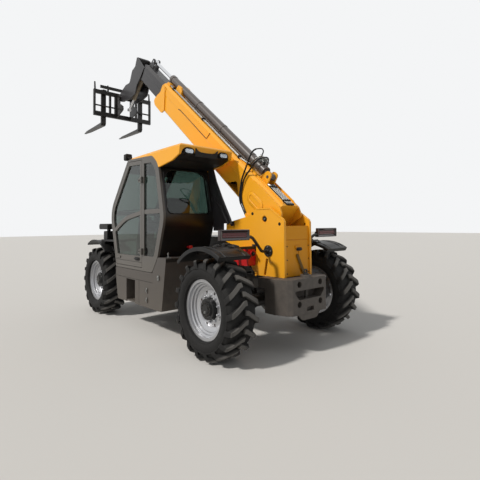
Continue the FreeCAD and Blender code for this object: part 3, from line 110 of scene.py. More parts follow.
# %% [markdown]
# ## Small helpers
# A material in Blender is a small graph of nodes. Writing it by hand takes a line to make each node
# and a line for each wire, so one function does both: it makes the node, fills its sockets with
# numbers or wires, and gives it back. Colours are written as they look on a screen, and one
# function turns them to the linear values that light adds up in.

# %% Colour and node helpers
FIRST, SECOND, MIXED = 6, 7, 2  # sockets of a Mix node: its two colours, and the mixed one


def linear(code, alpha=1.0):
    """Turn an sRGB hex code into the linear colour that the renderer adds up."""
    values = [int(code[i:i + 2], 16) / 255 for i in (1, 3, 5)]
    return (*[v / 12.92 if v <= 0.04045 else ((v + 0.055) / 1.055) ** 2.4 for v in values], alpha)


def add(tree, kind, sockets=(), **settings):
    """Add one node, set its fields, and fill its sockets with values or wires."""
    node = tree.nodes.new(kind)
    for field, value in settings.items():
        setattr(node, field, value)
    for socket, value in dict(sockets).items():
        if isinstance(value, bpy.types.NodeSocket):
            tree.links.new(value, node.inputs[socket])
        else:
            node.inputs[socket].default_value = value
    return node


def new_material(name, **surface):
    """A material whose surface shader has the given plain values, its node tree and that shader."""
    material = bpy.data.materials.new(name)
    material.use_nodes = True
    shader = material.node_tree.nodes["Principled BSDF"]
    for socket, value in surface.items():
        shader.inputs[socket.replace("_", " ")].default_value = value
    return material, material.node_tree, shader


print("mid grey in linear light:", round(linear("#808080")[0], 3))

# %% [markdown]
# ## The studio
# The real machine stands outdoors, where the whole sky lights it softly and the sun adds one warm
# side. The studio keeps that: a pale world for the sky, one broad sun from the left and above, and
# a pale floor that throws light back up under the boom. The two together light a surface that faces
# them by about one, so that paint looks the colour that it was mixed to.

# %% World, sun and floor
SKY_STRENGTH = 0.43
SUN_STRENGTH = 2.8
SUN_WIDTH = math.radians(5)
SUN_FROM = Vector((0.12, 0.72, 0.78))
SKY_FADE = (-0.1, 0.9)
FLOOR_HALF = 60.0
FLOOR_CORNERS = ((-1, -1), (1, -1), (1, 1), (-1, 1))

world = bpy.data.worlds.new("pale_sky")
world.use_nodes = True
sky = world.node_tree
sky.nodes.clear()
sky_direction = add(sky, "ShaderNodeTexCoord")
sky_height = add(sky, "ShaderNodeSeparateXYZ", {"Vector": sky_direction.outputs["Generated"]})
sky_shade = add(sky, "ShaderNodeMapRange", {"Value": sky_height.outputs["Z"],
                                            "From Min": SKY_FADE[0], "From Max": SKY_FADE[1]})
sky_ramp = add(sky, "ShaderNodeMix", {0: sky_shade.outputs[0], FIRST: linear("#d4d6d8"),
                                      SECOND: linear("#ffffff")}, data_type="RGBA")
lit_sky = add(sky, "ShaderNodeBackground", {"Color": sky_ramp.outputs[MIXED],
                                            "Strength": SKY_STRENGTH})
seen_sky = add(sky, "ShaderNodeBackground", {"Color": linear("#f4f5f6"), "Strength": 1.0})
rays = add(sky, "ShaderNodeLightPath").outputs
seen_directly = add(sky, "ShaderNodeMath", {0: rays["Is Camera Ray"],
                                            1: rays["Is Transmission Ray"]}, operation="MAXIMUM")
seen_at_all = add(sky, "ShaderNodeMath", {0: seen_directly.outputs[0], 1: rays["Is Glossy Ray"]},
                  operation="MAXIMUM")
sky_choice = add(sky, "ShaderNodeMixShader", {0: seen_at_all.outputs[0], 1: lit_sky.outputs[0],
                                              2: seen_sky.outputs[0]})
add(sky, "ShaderNodeOutputWorld", {"Surface": sky_choice.outputs[0]})
bpy.context.scene.world = world

sun_data = bpy.data.lights.new("soft_sun", "SUN")
sun_data.energy = SUN_STRENGTH
sun_data.angle = SUN_WIDTH
sun_data.color = linear("#fffaf4")[:3]
sun = bpy.data.objects.new("soft_sun", sun_data)
sun.rotation_euler = SUN_FROM.to_track_quat("Z", "Y").to_euler()
bpy.context.scene.collection.objects.link(sun)

floor_mesh = bpy.data.meshes.new("floor")
floor_mesh.from_pydata([(x * FLOOR_HALF, y * FLOOR_HALF, 0.0) for x, y in FLOOR_CORNERS],
                       [], [(0, 1, 2, 3)])
floor = bpy.data.objects.new("floor", floor_mesh)
bpy.context.scene.collection.objects.link(floor)
pale_floor, _, _ = new_material("pale_floor", Base_Color=linear("#c9c8c5"), Roughness=0.9)
floor_mesh.materials.append(pale_floor)
bpy.context.scene.view_settings.view_transform = "Standard"
print("sun height:", round(math.degrees(math.asin(SUN_FROM.normalized().z))), "degrees")

# %% [markdown]
# ## Painted steel
# Most of the machine is steel plate, shot-blasted and sprayed with a thick polyester enamel.
# Sprayed enamel is glossy but never flat: it has a faint orange peel, plates are slightly uneven
# where they were welded, and a work machine carries dust that thickens towards the ground. A
# rounded edge catches a thin line of light, and the Bevel node bends the normals there without
# adding a single face. Some plates are masked and sprayed in a second colour, and one has painted
# shade as its second colour, so the function can take a mask: a wire that is one where the second
# colour goes.

# %% Sprayed enamel
PEEL_SIZE = 14 * MM  # orange peel is 2 mm wide in truth, drawn coarser so that a pixel can hold it
WAVE_SIZE = 260 * MM
DUST_PATCH = 90 * MM
EDGE_ROUND = 4 * MM
DUST_TOP, DUST_FULL = 1.1, 0.25  # dust starts at the first height and is thickest at the second


def sprayed_enamel(name, paint, roughness=0.36, dust="#8d8373", dust_level=0.3, gloss=0.1,
                   mirror=0.35, second=None, mask=None):
    """Enamel on plate: the eye sees one clean colour, soft waves in the gloss and dust low down."""
    material, tree, shader = new_material(name, IOR=1.5, Specular_IOR_Level=mirror,
                                          Coat_Weight=gloss, Coat_Roughness=0.15)
    place = add(tree, "ShaderNodeTexCoord").outputs["Object"]
    axes = add(tree, "ShaderNodeSeparateXYZ", {"Vector": place}).outputs
    base = linear(paint)
    if second:
        two = add(tree, "ShaderNodeMix", {0: mask(tree, axes), FIRST: linear(paint),
                                          SECOND: linear(second)}, data_type="RGBA")
        base = two.outputs[MIXED]
    patches = add(tree, "ShaderNodeTexNoise", {"Vector": place, "Scale": 1 / DUST_PATCH,
                                               "Detail": 6.0, "Roughness": 0.65})
    low = add(tree, "ShaderNodeMapRange", {"Value": axes["Z"], "From Min": DUST_TOP,
                                           "From Max": DUST_FULL, "To Min": 0.03,
                                           "To Max": dust_level})
    dusty = add(tree, "ShaderNodeMath", {0: patches.outputs["Fac"], 1: low.outputs[0]},
                operation="MULTIPLY")
    colour = add(tree, "ShaderNodeMix", {0: dusty.outputs[0], FIRST: base, SECOND: linear(dust)},
                 data_type="RGBA")
    tree.links.new(colour.outputs[MIXED], shader.inputs["Base Color"])
    dull = add(tree, "ShaderNodeMapRange", {"Value": dusty.outputs[0], "From Max": 0.4,
                                            "To Min": roughness, "To Max": 0.75})
    tree.links.new(dull.outputs[0], shader.inputs["Roughness"])
    peel = add(tree, "ShaderNodeTexNoise", {"Vector": place, "Scale": 1 / PEEL_SIZE, "Detail": 1.0})
    wave = add(tree, "ShaderNodeTexNoise", {"Vector": place, "Scale": 1 / WAVE_SIZE, "Detail": 0.0})
    edge = add(tree, "ShaderNodeBevel", {"Radius": EDGE_ROUND}, samples=4)
    slow = add(tree, "ShaderNodeBump", {"Height": wave.outputs["Fac"], "Strength": 0.25,
                                        "Distance": 0.004, "Normal": edge.outputs[0]})
    fine = add(tree, "ShaderNodeBump", {"Height": peel.outputs["Fac"], "Strength": 0.12,
                                        "Distance": 0.0006, "Normal": slow.outputs[0]})
    tree.links.new(fine.outputs[0], shader.inputs["Normal"])
    return material


boom_enamel = sprayed_enamel("boom_yellow_enamel", "#f0a820")
panel_enamel = sprayed_enamel("service_panel_enamel", "#dc930c", mirror=0.2, gloss=0.0)
body_enamel = sprayed_enamel("warm_grey_enamel", "#575450", roughness=0.42, gloss=0.15)
inner_enamel = sprayed_enamel("graphite_enamel", "#242326", roughness=0.4, gloss=0.15)
barrel_enamel = sprayed_enamel("taupe_cylinder_enamel", "#4f4845", roughness=0.35, gloss=0.3)
primer_enamel = sprayed_enamel("beige_primer", "#8d826f", roughness=0.5, gloss=0.05)
# dark olive: painted shade for the shaded inside of a pressed channel on the rear cover
channel_shade_enamel = sprayed_enamel("olive_channel_shade_enamel", "#6b4e12", dust_level=0.1, mirror=0.2,
                              gloss=0.0)
box_enamel = sprayed_enamel("signal_red_enamel", "#c4141a", roughness=0.3)
black_enamel = sprayed_enamel("black_chassis_enamel", "#171616", roughness=0.42, gloss=0.15,
                              dust_level=0.2)
print("enamels:", [m.name for m in bpy.data.materials if "enamel" in m.name])

# %% [markdown]
# ## Two colours on one piece
# The cab is sprayed grey on its outer left side and its front, and gloss black round the rest. The
# box under the cab is grey outside, and its rear end, which faces away from the sun, is drawn near
# black as painted shade. A mask made from the place of each point does what the sprayer's masking
# tape does on the cab, and lays the painted shade on the box.

# %% Masks, the two-colour cab enamel and the painted shade on the side box
CAB_SIDE_Y = 1.046
CAB_FRONT_MASK_X = -0.16
BOX_REAR_X = -1.744


def cab_mask(tree, axes):
    """One on the black parts of the cab: right of its left side and behind its front."""
    inside = add(tree, "ShaderNodeMath", {0: axes["Y"], 1: CAB_SIDE_Y}, operation="LESS_THAN")
    behind = add(tree, "ShaderNodeMath", {0: axes["X"], 1: CAB_FRONT_MASK_X}, operation="LESS_THAN")
    return add(tree, "ShaderNodeMath", {0: inside.outputs[0], 1: behind.outputs[0]},
               operation="MULTIPLY").outputs[0]


def box_rear_shade_mask(tree, axes):
    """One on the rear end of the side box, where its near-black colour is painted shade."""
    return add(tree, "ShaderNodeMath", {0: axes["X"], 1: BOX_REAR_X},
               operation="LESS_THAN").outputs[0]


cab_enamel = sprayed_enamel("grey_and_black_cab_enamel", "#53504c", roughness=0.3, second="#0d0c0c",
                            mask=cab_mask)
# the near-black second colour on the box's rear end is painted shade
side_box_enamel_and_rear_shade = sprayed_enamel("side_box_enamel_and_rear_shade", "#433f3c", roughness=0.42, second="#141313",
                                 mask=box_rear_shade_mask)
print("two-colour enamels:", cab_enamel.name, side_box_enamel_and_rear_shade.name)

# %% [markdown]
# ## Cast iron
# The counterweight and the engine are castings: iron poured in sand, then painted without much
# grinding. The eye reads sand casting by its lumpy skin, so two sizes of noise push the surface in
# and out, one for the mould and one for the sand.

# %% Sand-cast iron, painted
SAND_SIZE = 5 * MM  # sand is under 1 mm wide in truth, drawn coarser so that it shows
MOULD_SIZE = 60 * MM
CAST_EDGE = 8 * MM


def painted_casting(name, paint, roughness=0.58):
    """Sand-cast iron under paint: dull, lumpy, with paler worn patches on what stands proud."""
    material, tree, shader = new_material(name, IOR=1.5)
    place = add(tree, "ShaderNodeTexCoord").outputs["Object"]
    sand = add(tree, "ShaderNodeTexNoise", {"Vector": place, "Scale": 1 / SAND_SIZE, "Detail": 3.0})
    mould = add(tree, "ShaderNodeTexNoise", {"Vector": place, "Scale": 1 / MOULD_SIZE,
                                             "Detail": 4.0})
    tone = add(tree, "ShaderNodeMapRange", {"Value": mould.outputs["Fac"], "From Min": 0.3,
                                            "From Max": 0.7, "To Min": 0.0, "To Max": 0.25})
    colour = add(tree, "ShaderNodeMix", {0: tone.outputs[0], FIRST: linear(paint),
                                         SECOND: linear("#6e665d")}, data_type="RGBA")
    tree.links.new(colour.outputs[MIXED], shader.inputs["Base Color"])
    gloss = add(tree, "ShaderNodeMapRange", {"Value": sand.outputs["Fac"],
                                             "To Min": roughness - 0.1, "To Max": roughness + 0.15})
    tree.links.new(gloss.outputs[0], shader.inputs["Roughness"])
    edge = add(tree, "ShaderNodeBevel", {"Radius": CAST_EDGE}, samples=4)
    lumps = add(tree, "ShaderNodeBump", {"Height": mould.outputs["Fac"], "Strength": 0.4,
                                         "Distance": 0.003, "Normal": edge.outputs[0]})
    grains = add(tree, "ShaderNodeBump", {"Height": sand.outputs["Fac"], "Strength": 0.35,
                                          "Distance": 0.0008, "Normal": lumps.outputs[0]})
    tree.links.new(grains.outputs[0], shader.inputs["Normal"])
    return material


ballast_iron = painted_casting("painted_cast_ballast", "#46413d")
engine_iron = painted_casting("painted_cast_engine", "#2e2c2a")
print("castings:", ballast_iron.name, engine_iron.name)

# %% [markdown]
# ## Rubber
# Tyres are black rubber cured in a steel mould, with carbon black for strength. New rubber has a
# soft satin skin; a used tyre is grey with dust. On a tyre the colour also turns paler with the
# distance from the axle, so the tops of the lugs are the palest and the rubber between the lugs
# stays dark: partly dust, and partly a painted highlight on the lug tops and painted shade between
# the lugs. Hoses and window seals are rubbers of the same family, with far less dust.

# %% Distance from the nearest axle
AXLES_X = (-2.589, 0.545)
AXLE_Z = 0.5559


def wheel_radius(tree, axes):
    """Distance of a point from the axle line of its own wheel, in metres."""
    gaps = [add(tree, "ShaderNodeMath", {0: axes["X"], 1: x}, operation="SUBTRACT")
            for x in AXLES_X]
    sizes = [add(tree, "ShaderNodeMath", {0: gap.outputs[0]}, operation="ABSOLUTE") for gap in gaps]
    along = add(tree, "ShaderNodeMath", {0: sizes[0].outputs[0], 1: sizes[1].outputs[0]},
                operation="MINIMUM")
    over = add(tree, "ShaderNodeMath", {0: axes["Z"], 1: AXLE_Z}, operation="SUBTRACT")
    flat = add(tree, "ShaderNodeCombineXYZ", {"X": along.outputs[0], "Y": over.outputs[0]})
    return add(tree, "ShaderNodeVectorMath", {0: flat.outputs[0]},
               operation="LENGTH").outputs["Value"]


print("axles at x:", AXLES_X)

# %% Tyre and hose rubber
RUBBER_GRAIN = 8 * MM  # the skin is finer in truth, drawn coarser so that it shows
MUD_PATCH = 45 * MM
RUBBER_EDGE = 4 * MM
TREAD_FLOOR = 0.522
TREAD_TOP = 0.553


def cured_rubber(name, fresh, dusty, dust_share=0.5, roughness=0.72, tread_dust_and_highlight=None):
    """Cured rubber: almost black, satin, with dry dust that lifts it to a warm grey."""
    material, tree, shader = new_material(name, IOR=1.52, Roughness=roughness,
                                          Specular_IOR_Level=0.25)
    place = add(tree, "ShaderNodeTexCoord").outputs["Object"]
    axes = add(tree, "ShaderNodeSeparateXYZ", {"Vector": place}).outputs
    patches = add(tree, "ShaderNodeTexNoise", {"Vector": place, "Scale": 1 / MUD_PATCH,
                                               "Detail": 8.0, "Roughness": 0.7})
    grain = add(tree, "ShaderNodeTexNoise", {"Vector": place, "Scale": 1 / RUBBER_GRAIN,
                                             "Detail": 2.0})
    amount = add(tree, "ShaderNodeMapRange", {"Value": patches.outputs["Fac"], "From Min": 0.32,
                                              "From Max": 0.68, "To Max": dust_share})
    colour = add(tree, "ShaderNodeMix", {0: amount.outputs[0], FIRST: linear(fresh),
                                         SECOND: linear(dusty)}, data_type="RGBA")
    # paler towards the lug tops: partly dust, partly a painted highlight on the tops and painted
    # shade between the lugs
    if tread_dust_and_highlight:
        worn = add(tree, "ShaderNodeMapRange", {"Value": wheel_radius(tree, axes),
                                                "From Min": TREAD_FLOOR, "From Max": TREAD_TOP,
                                                "To Max": 0.8})
        colour = add(tree, "ShaderNodeMix", {0: worn.outputs[0], FIRST: colour.outputs[MIXED],
                                             SECOND: linear(tread_dust_and_highlight)}, data_type="RGBA")
    tree.links.new(colour.outputs[MIXED], shader.inputs["Base Color"])
    edge = add(tree, "ShaderNodeBevel", {"Radius": RUBBER_EDGE}, samples=4)
    skin = add(tree, "ShaderNodeBump", {"Height": grain.outputs["Fac"], "Strength": 0.3,
                                        "Distance": 0.001, "Normal": edge.outputs[0]})
    tree.links.new(skin.outputs[0], shader.inputs["Normal"])
    return material


# the pale tread colour is partly dust and partly a painted highlight on the lug tops
tyre_rubber = cured_rubber("dusty_tyre_rubber", "#121212", "#252423", tread_dust_and_highlight="#686663")
hose_rubber = cured_rubber("wrapped_hose_rubber", "#101010", "#2c2a29", dust_share=0.3,
                           roughness=0.5)
seal_rubber = cured_rubber("window_seal_rubber", "#0b0b0b", "#222120", dust_share=0.3,
                           roughness=0.55)
print("rubbers:", tyre_rubber.name, hose_rubber.name, seal_rubber.name)

# %% [markdown]
# ## Bright metal
# Three bright metals show on the machine. The cylinder rods are ground and hard-chromed, a near
# mirror drawn out along the rod. The pipes are zinc-plated and a little cloudy. The rims are
# pressed steel sprayed with aluminium paint, whose flakes give a soft metallic sheen but no
# reflections; their hubs are sprayed black. Metals keep Blender's own IOR.

# %% Chrome, zinc and aluminium paint
HUB_EDGE = 0.128
METAL_EDGE = 2 * MM


def bright_metal(name, colour, roughness, metallic=1.0, cloud=0.12, cloud_size=25 * MM, hub=None):
    """Bare or plated metal: a clear tone whose gloss drifts a little from place to place."""
    material, tree, shader = new_material(name, Base_Color=linear(colour), Metallic=metallic)
    place = add(tree, "ShaderNodeTexCoord").outputs["Object"]
    if hub:
        axes = add(tree, "ShaderNodeSeparateXYZ", {"Vector": place}).outputs
        is_hub = add(tree, "ShaderNodeMath", {0: wheel_radius(tree, axes), 1: HUB_EDGE},
                     operation="LESS_THAN")
        two = add(tree, "ShaderNodeMix", {0: is_hub.outputs[0], FIRST: linear(colour),
                                          SECOND: linear(hub)}, data_type="RGBA")
        tree.links.new(two.outputs[MIXED], shader.inputs["Base Color"])
        bare = add(tree, "ShaderNodeMapRange", {"Value": is_hub.outputs[0], "To Min": metallic,
                                                "To Max": 0.0})
        tree.links.new(bare.outputs[0], shader.inputs["Metallic"])
    clouds = add(tree, "ShaderNodeTexNoise", {"Vector": place, "Scale": 1 / cloud_size,
                                              "Detail": 5.0})
    gloss = add(tree, "ShaderNodeMapRange", {"Value": clouds.outputs["Fac"], "From Min": 0.3,
                                             "From Max": 0.7,
                                             "To Min": max(roughness - cloud, 0.05),
                                             "To Max": roughness + cloud})
    tree.links.new(gloss.outputs[0], shader.inputs["Roughness"])
    edge = add(tree, "ShaderNodeBevel", {"Radius": METAL_EDGE}, samples=4)
    tree.links.new(edge.outputs[0], shader.inputs["Normal"])
    return material


hard_chrome = bright_metal("ground_hard_chrome", "#dcdddf", 0.14, cloud=0.05)
zinc_plate = bright_metal("zinc_plated_steel", "#8a8b89", 0.45)
lamp_dish = bright_metal("vacuum_coated_lamp_dish", "#c9ccd0", 0.22, cloud=0.05)
rim_paint = bright_metal("aluminium_flake_paint", "#b4b5b8", 0.34, metallic=0.8, cloud=0.03,
                         cloud_size=120 * MM, hub="#111111")
print("metals:", hard_chrome.name, zinc_plate.name, rim_paint.name)

# %% [markdown]
# ## Plastics and glass
# The roof liner and the console are injection-moulded polypropylene with an etched grain, which
# keeps the black soft. The fenders are moulded polyethylene with a smoother skin, and the seat's
# cover is embossed vinyl. Lamp covers are clear, red or smoked acrylic, polished in the mould. The
# windows are toughened glass with a faint green tint: the body of the pane absorbs a little light,
# so the tint belongs to the shader's colour.

# %% Moulded plastics
GRAIN_SIZE = 3 * MM  # an etched grain is 0.5 mm wide in truth, drawn coarser so that it shows
SMEAR_SIZE = 70 * MM
MOULDED_EDGE = 3 * MM


def moulded_plastic(name, colour, roughness=0.5, worn="#3f3d3b", wear=0.4):
    """Moulded plastic: a softly etched skin that turns paler where boots and dust have been."""
    material, tree, shader = new_material(name, IOR=1.49, Specular_IOR_Level=0.3)
    place = add(tree, "ShaderNodeTexCoord").outputs["Object"]
    grain = add(tree, "ShaderNodeTexVoronoi", {"Vector": place, "Scale": 1 / GRAIN_SIZE})
    smears = add(tree, "ShaderNodeTexNoise", {"Vector": place, "Scale": 1 / SMEAR_SIZE,
                                              "Detail": 6.0})
    dust = add(tree, "ShaderNodeMapRange", {"Value": smears.outputs["Fac"], "From Min": 0.45,
                                            "From Max": 0.75, "To Max": wear})
    tint = add(tree, "ShaderNodeMix", {0: dust.outputs[0], FIRST: linear(colour),
                                       SECOND: linear(worn)}, data_type="RGBA")
    tree.links.new(tint.outputs[MIXED], shader.inputs["Base Color"])
    gloss = add(tree, "ShaderNodeMapRange", {"Value": smears.outputs["Fac"],
                                             "To Min": roughness - 0.1, "To Max": roughness + 0.15})
    tree.links.new(gloss.outputs[0], shader.inputs["Roughness"])
    edge = add(tree, "ShaderNodeBevel", {"Radius": MOULDED_EDGE}, samples=4)
    etched = add(tree, "ShaderNodeBump", {"Height": grain.outputs["Distance"], "Strength": 0.25,
                                          "Distance": 0.0005, "Normal": edge.outputs[0]})
    tree.links.new(etched.outputs[0], shader.inputs["Normal"])
    return material


black_plastic = moulded_plastic("etched_black_polypropylene", "#161616")
fender_plastic = moulded_plastic("etched_fender_polyethylene", "#131314", roughness=0.4,
                                 worn="#35332f", wear=0.4)
seat_vinyl = moulded_plastic("embossed_seat_vinyl", "#1c1c1e", roughness=0.55, worn="#2f2e2d",
                             wear=0.2)
lamp_grey = moulded_plastic("grey_lamp_edge", "#6b6563", roughness=0.35, wear=0.1)
print("plastics:", black_plastic.name, fender_plastic.name, seat_vinyl.name)

# %% Window glass and lamp acrylic
window_glass, _, _ = new_material("tinted_toughened_glass", Base_Color=linear("#74867f"),
                                  Roughness=0.0, IOR=1.52, Transmission_Weight=1.0)
clear_acrylic, _, _ = new_material("clear_lamp_acrylic", Base_Color=linear("#f2f5f7"),
                                   Roughness=0.03, IOR=1.49, Transmission_Weight=1.0)
red_acrylic, _, _ = new_material("red_lamp_acrylic", Base_Color=linear("#5c0d16"), Roughness=0.1,
                                 IOR=1.49, Coat_Weight=0.5)
smoked_acrylic, _, _ = new_material("smoked_red_lamp_acrylic", Base_Color=linear("#241416"),
                                    Roughness=0.14, IOR=1.49, Coat_Weight=0.5)
print("clear materials:", window_glass.name, clear_acrylic.name, red_acrylic.name,
      smoked_acrylic.name)

# %% [markdown]
# ## Which finish each piece gets
# The record of the machine names a finish slot for each of its pieces. A small table gives the real
# finish for each slot, a second one names the few pieces that are finished differently from the
# rest of their slot, and a loop puts the finish on every piece that shows it.

# %% Give every piece its finish
FINISHES = {"boom_yellow": boom_enamel, "panel_yellow": panel_enamel, "body_grey": body_enamel,
            "ballast_grey": ballast_iron, "inner_grey": inner_enamel, "black_steel": black_enamel,
            "box_red": box_enamel, "cast_block": engine_iron, "tyre": tyre_rubber,
            "hose_rubber": hose_rubber, "rim_silver": rim_paint, "chrome_rod": hard_chrome,
            "zinc_pipe": zinc_plate, "black_plastic": black_plastic, "cab_glass": window_glass,
            "lamp_lens": red_acrylic, "seat_vinyl": seat_vinyl}
OWN_FINISHES = {"cab_shell": cab_enamel, "side_box": side_box_enamel_and_rear_shade, "tele_barrel": barrel_enamel,
                "tilt_barrel": primer_enamel, "wear_pads": black_plastic,
                "front_fenders": fender_plastic}
for name, node in nodes.items():
    for holder in node.material_slots:
        holder.material = OWN_FINISHES.get(name, FINISHES[holder.material.name])
print("finished pieces:", len(nodes))

# %% [markdown]
# ## Making pieces out of mesh
# Four small makers cover nearly all of the fittings. A lathe turns a profile round an axis, a plate
# carries an outline through a thickness, a bar sweeps a round section along a bent line, and the
# last one gathers what was made into a named piece with its finish, and lets it ride on the part of
# the machine that carries it. Blender's own primitives are not used, because every real part has a
# chamfer, a step or a flange that shows.

# %% Places and mesh makers
REAR_AXLE_X = -2589
WHEELBASE = 3134
OFF_AXIS = Vector((0.31, 0.17, 0.93))  # no bar of this machine runs this way
WIDEST_BEND = 0.5  # at a sharp bend the section widens to twice its width and no more
STRAIGHT = 1e-6


def at(x, y, z):
    """Point at x mm ahead of the rear axle, y mm left of the middle and z mm above the ground."""
    return Vector((x + REAR_AXLE_X, y, z)) * MM


def joined(bm, rings, closed=False):
    """Faces between rings of points; the ends are capped, or joined to each other when closed."""
    pairs = list(zip(rings, rings[1:])) + ([(rings[-1], rings[0])] if closed else [])
    for low, high in pairs:
        for i in range(len(low)):
            j = (i + 1) % len(low)
            bm.faces.new((low[i], low[j], high[j], high[i]))
    if not closed:
        bm.faces.new(reversed(rings[0]))
        bm.faces.new(rings[-1])


def turned(bm, profile, place, axis, steps=32, closed=False):
    """Turn a profile of (along, radius) pairs in mm round an axis, as a lathe does."""
    seat = Matrix.Translation(place) @ axis.to_track_quat("Z", "Y").to_matrix().to_4x4()
    angles = [math.tau * i / steps for i in range(steps)]
    joined(bm, [[bm.verts.new(seat @ (Vector((math.cos(a) * radius, math.sin(a) * radius, along))
                                      * MM)) for a in angles] for along, radius in profile], closed)


def plate(bm, outline, place, across, upwards, through):
    """A plate: its outline in mm on two directions, carried through its thickness."""
    near = [bm.verts.new(place + (across * u + upwards * v) * MM) for u, v in outline]
    joined(bm, [near, [bm.verts.new(vert.co + through) for vert in near]])


def bar(bm, points, radius, steps=12, closed=False):
    """A round bar along a bent line; at a bend its section stands halfway between the two runs."""
    rings = []
    for i, point in enumerate(points):
        before = points[i] - points[i - 1] if i or closed else points[1] - points[0]
        after = points[(i + 1) % len(points)] - point if i < len(points) - 1 or closed else before
        heading = (before.normalized() + after.normalized()).normalized()
        widen = 1 / max(heading.dot(before.normalized()), WIDEST_BEND)
        side = heading.cross(OFF_AXIS).normalized()
        other = heading.cross(side)
        bend = after.normalized() - before.normalized()
        bend = bend.normalized() if bend.length > STRAIGHT else side
        ring = []
        for k in range(steps):
            spoke = side * math.cos(math.tau * k / steps) + other * math.sin(math.tau * k / steps)
            spoke += bend * spoke.dot(bend) * (widen - 1)
            ring.append(bm.verts.new(point + spoke * radius * MM))
        rings.append(ring)
    joined(bm, rings, closed)


def rounded(width, height, radius, steps=6):
    """Outline of a rounded rectangle about its middle, in mm."""
    outline = []
    for turn, (sx, sy) in enumerate(((1, 1), (-1, 1), (-1, -1), (1, -1))):
        for k in range(steps + 1):
            angle = math.pi / 2 * (turn + k / steps)
            outline.append((sx * (width / 2 - radius) + math.cos(angle) * radius,
                            sy * (height / 2 - radius) + math.sin(angle) * radius))
    return outline


def as_piece(name, bm, material, body, slot, *replaced, sharp=32, bevel=0):
    """Name what was made, smooth it between its sharp edges, give it its finish and let it ride."""
    bmesh.ops.recalc_face_normals(bm, faces=bm.faces)
    mesh = bpy.data.meshes.new(name)
    bm.to_mesh(mesh)
    bm.free()
    mesh.materials.append(material)
    mesh.shade_smooth()
    mesh.set_sharp_from_angle(angle=math.radians(sharp))
    piece = bpy.data.objects.new(name, mesh)
    bpy.context.scene.collection.objects.link(piece)
    if bevel:
        rounding = piece.modifiers.new("rounded_edges", "BEVEL")
        rounding.width = bevel * MM
        rounding.segments = 2
        rounding.limit_method = "ANGLE"
        rounding.angle_limit = math.radians(40)
    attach(piece, body)
    if replaced:
        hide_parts(*replaced)
    return piece


X_AXIS, Y_AXIS, Z_AXIS = Vector((1, 0, 0)), Vector((0, 1, 0)), Vector((0, 0, 1))
SIDES = (("left", 1), ("right", -1))
WHEELS = [(f"{end}_{side_name}", x, side) for end, x in (("front", WHEELBASE), ("rear", 0))
          for side_name, side in SIDES]
print("rear axle at x:", REAR_AXLE_X * MM)

# %% Bolts
SPANNER = 24
HEX_CHAMFER = 0.86
WASHER_FROM, WASHER_TO, WASHER_SHARE = -2, 3, 1.25


def bolt_head(bm, place, axis, across=SPANNER, height=10):
    """A hexagon head with its chamfer on a round washer."""
    corner = across / 2 / math.cos(math.pi / 6)
    washer = corner * WASHER_SHARE
    turned(bm, [(WASHER_FROM, washer), (WASHER_TO, washer)], place, axis, steps=20)
    turned(bm, [(WASHER_TO, corner), (height, corner), (height + 3, corner * HEX_CHAMFER)], place,
           axis, steps=6)


def bolts(name, places, axis, material, body, slot, across=SPANNER, height=10):
    """One piece with a hexagon head at each of the given places."""
    bm = bmesh.new()
    for place in places:
        bolt_head(bm, place, axis, across, height)
    return as_piece(name, bm, material, body, slot, sharp=25)


print("over its corners a hexagon is", round(SPANNER / math.cos(math.pi / 6), 1), "mm")

# %% [markdown]
# ## Tyres
# A field tyre is built up on a drum and cured in a mould that presses the lugs into it. Its section
# is a soft, almost square horseshoe with a rim guard above the bead, and its lugs are tall bars
# that lean back from the middle, in two rows half a step apart, and run out over the shoulder as
# ramps. The carried-over solid has flat facets, so each tyre is made again here with a turned
# carcass and lugs that taper to their top.

# %% Tyre carcass and lugs
TYRE_CENTRE_Z = 556
TYRE_CENTRE_Y = 955
CARCASS = [(0, 511), (60, 510), (118, 507), (148, 502), (164, 492), (174, 476), (181, 462),
           (187, 458), (190.5, 455), (190.5, 449), (187, 445), (191, 434), (192.5, 404), (190, 384),
           (184, 366), (176, 353), (178, 349), (174, 343), (163, 339), (151, 337), (146, 330),
           (142, 313)]
LUG_STATIONS = [(-14, 556), (20, 556), (60, 555.5), (100, 554.5), (134, 552), (160, 547),
                (176, 541), (188, 512), (192.5, 474)]
LUG_COUNT = 18
LUG_LEAN = math.tan(math.radians(38))
LUG_TOP_HALF = 25
LUG_FOOT_HALF = 32
LUG_FOOT = 492
LUG_CURVE = 0.00075
LUG_LEAST = 30
LUG_STAGGER = 0.25


def tyre_lug(bm, side, turn, centre):
    """One tread bar: narrow at its top, wide at its foot, leaning back from the tread's middle."""
    spin = Matrix.Translation(centre) @ Matrix.Rotation(turn, 4, "Y")
    rings = []
    for y, top in LUG_STATIONS:
        lean = -abs(y) * LUG_LEAN + LUG_CURVE * y * y
        foot = min(LUG_FOOT, top - LUG_LEAST)
        ring = []
        for half, radius in ((-LUG_FOOT_HALF, foot), (-LUG_TOP_HALF, top), (LUG_TOP_HALF, top),
                             (LUG_FOOT_HALF, foot)):
            x = lean + half
            rise = math.sqrt(radius ** 2 - x ** 2)
            ring.append(bm.verts.new(spin @ (Vector((x, side * y, rise)) * MM)))
        rings.append(ring)
    joined(bm, rings)


for corner, x, side in WHEELS:
    centre = at(x, side * TYRE_CENTRE_Y, TYRE_CENTRE_Z)
    bm = bmesh.new()
    section = CARCASS[::-1] + [(-y, r) for y, r in CARCASS[1:]]
    turned(bm, section, centre, Y_AXIS, steps=96, closed=True)
    for i in range(LUG_COUNT):
        for row in (1, -1):
            tyre_lug(bm, row, math.tau / LUG_COUNT * (i + LUG_STAGGER * row), centre)
    as_piece(f"{corner}_field_tyre", bm, tyre_rubber, f"{corner}_wheel", "tyre", f"{corner}_tyre",
             sharp=30)
print("lugs on each tyre:", 2 * LUG_COUNT)

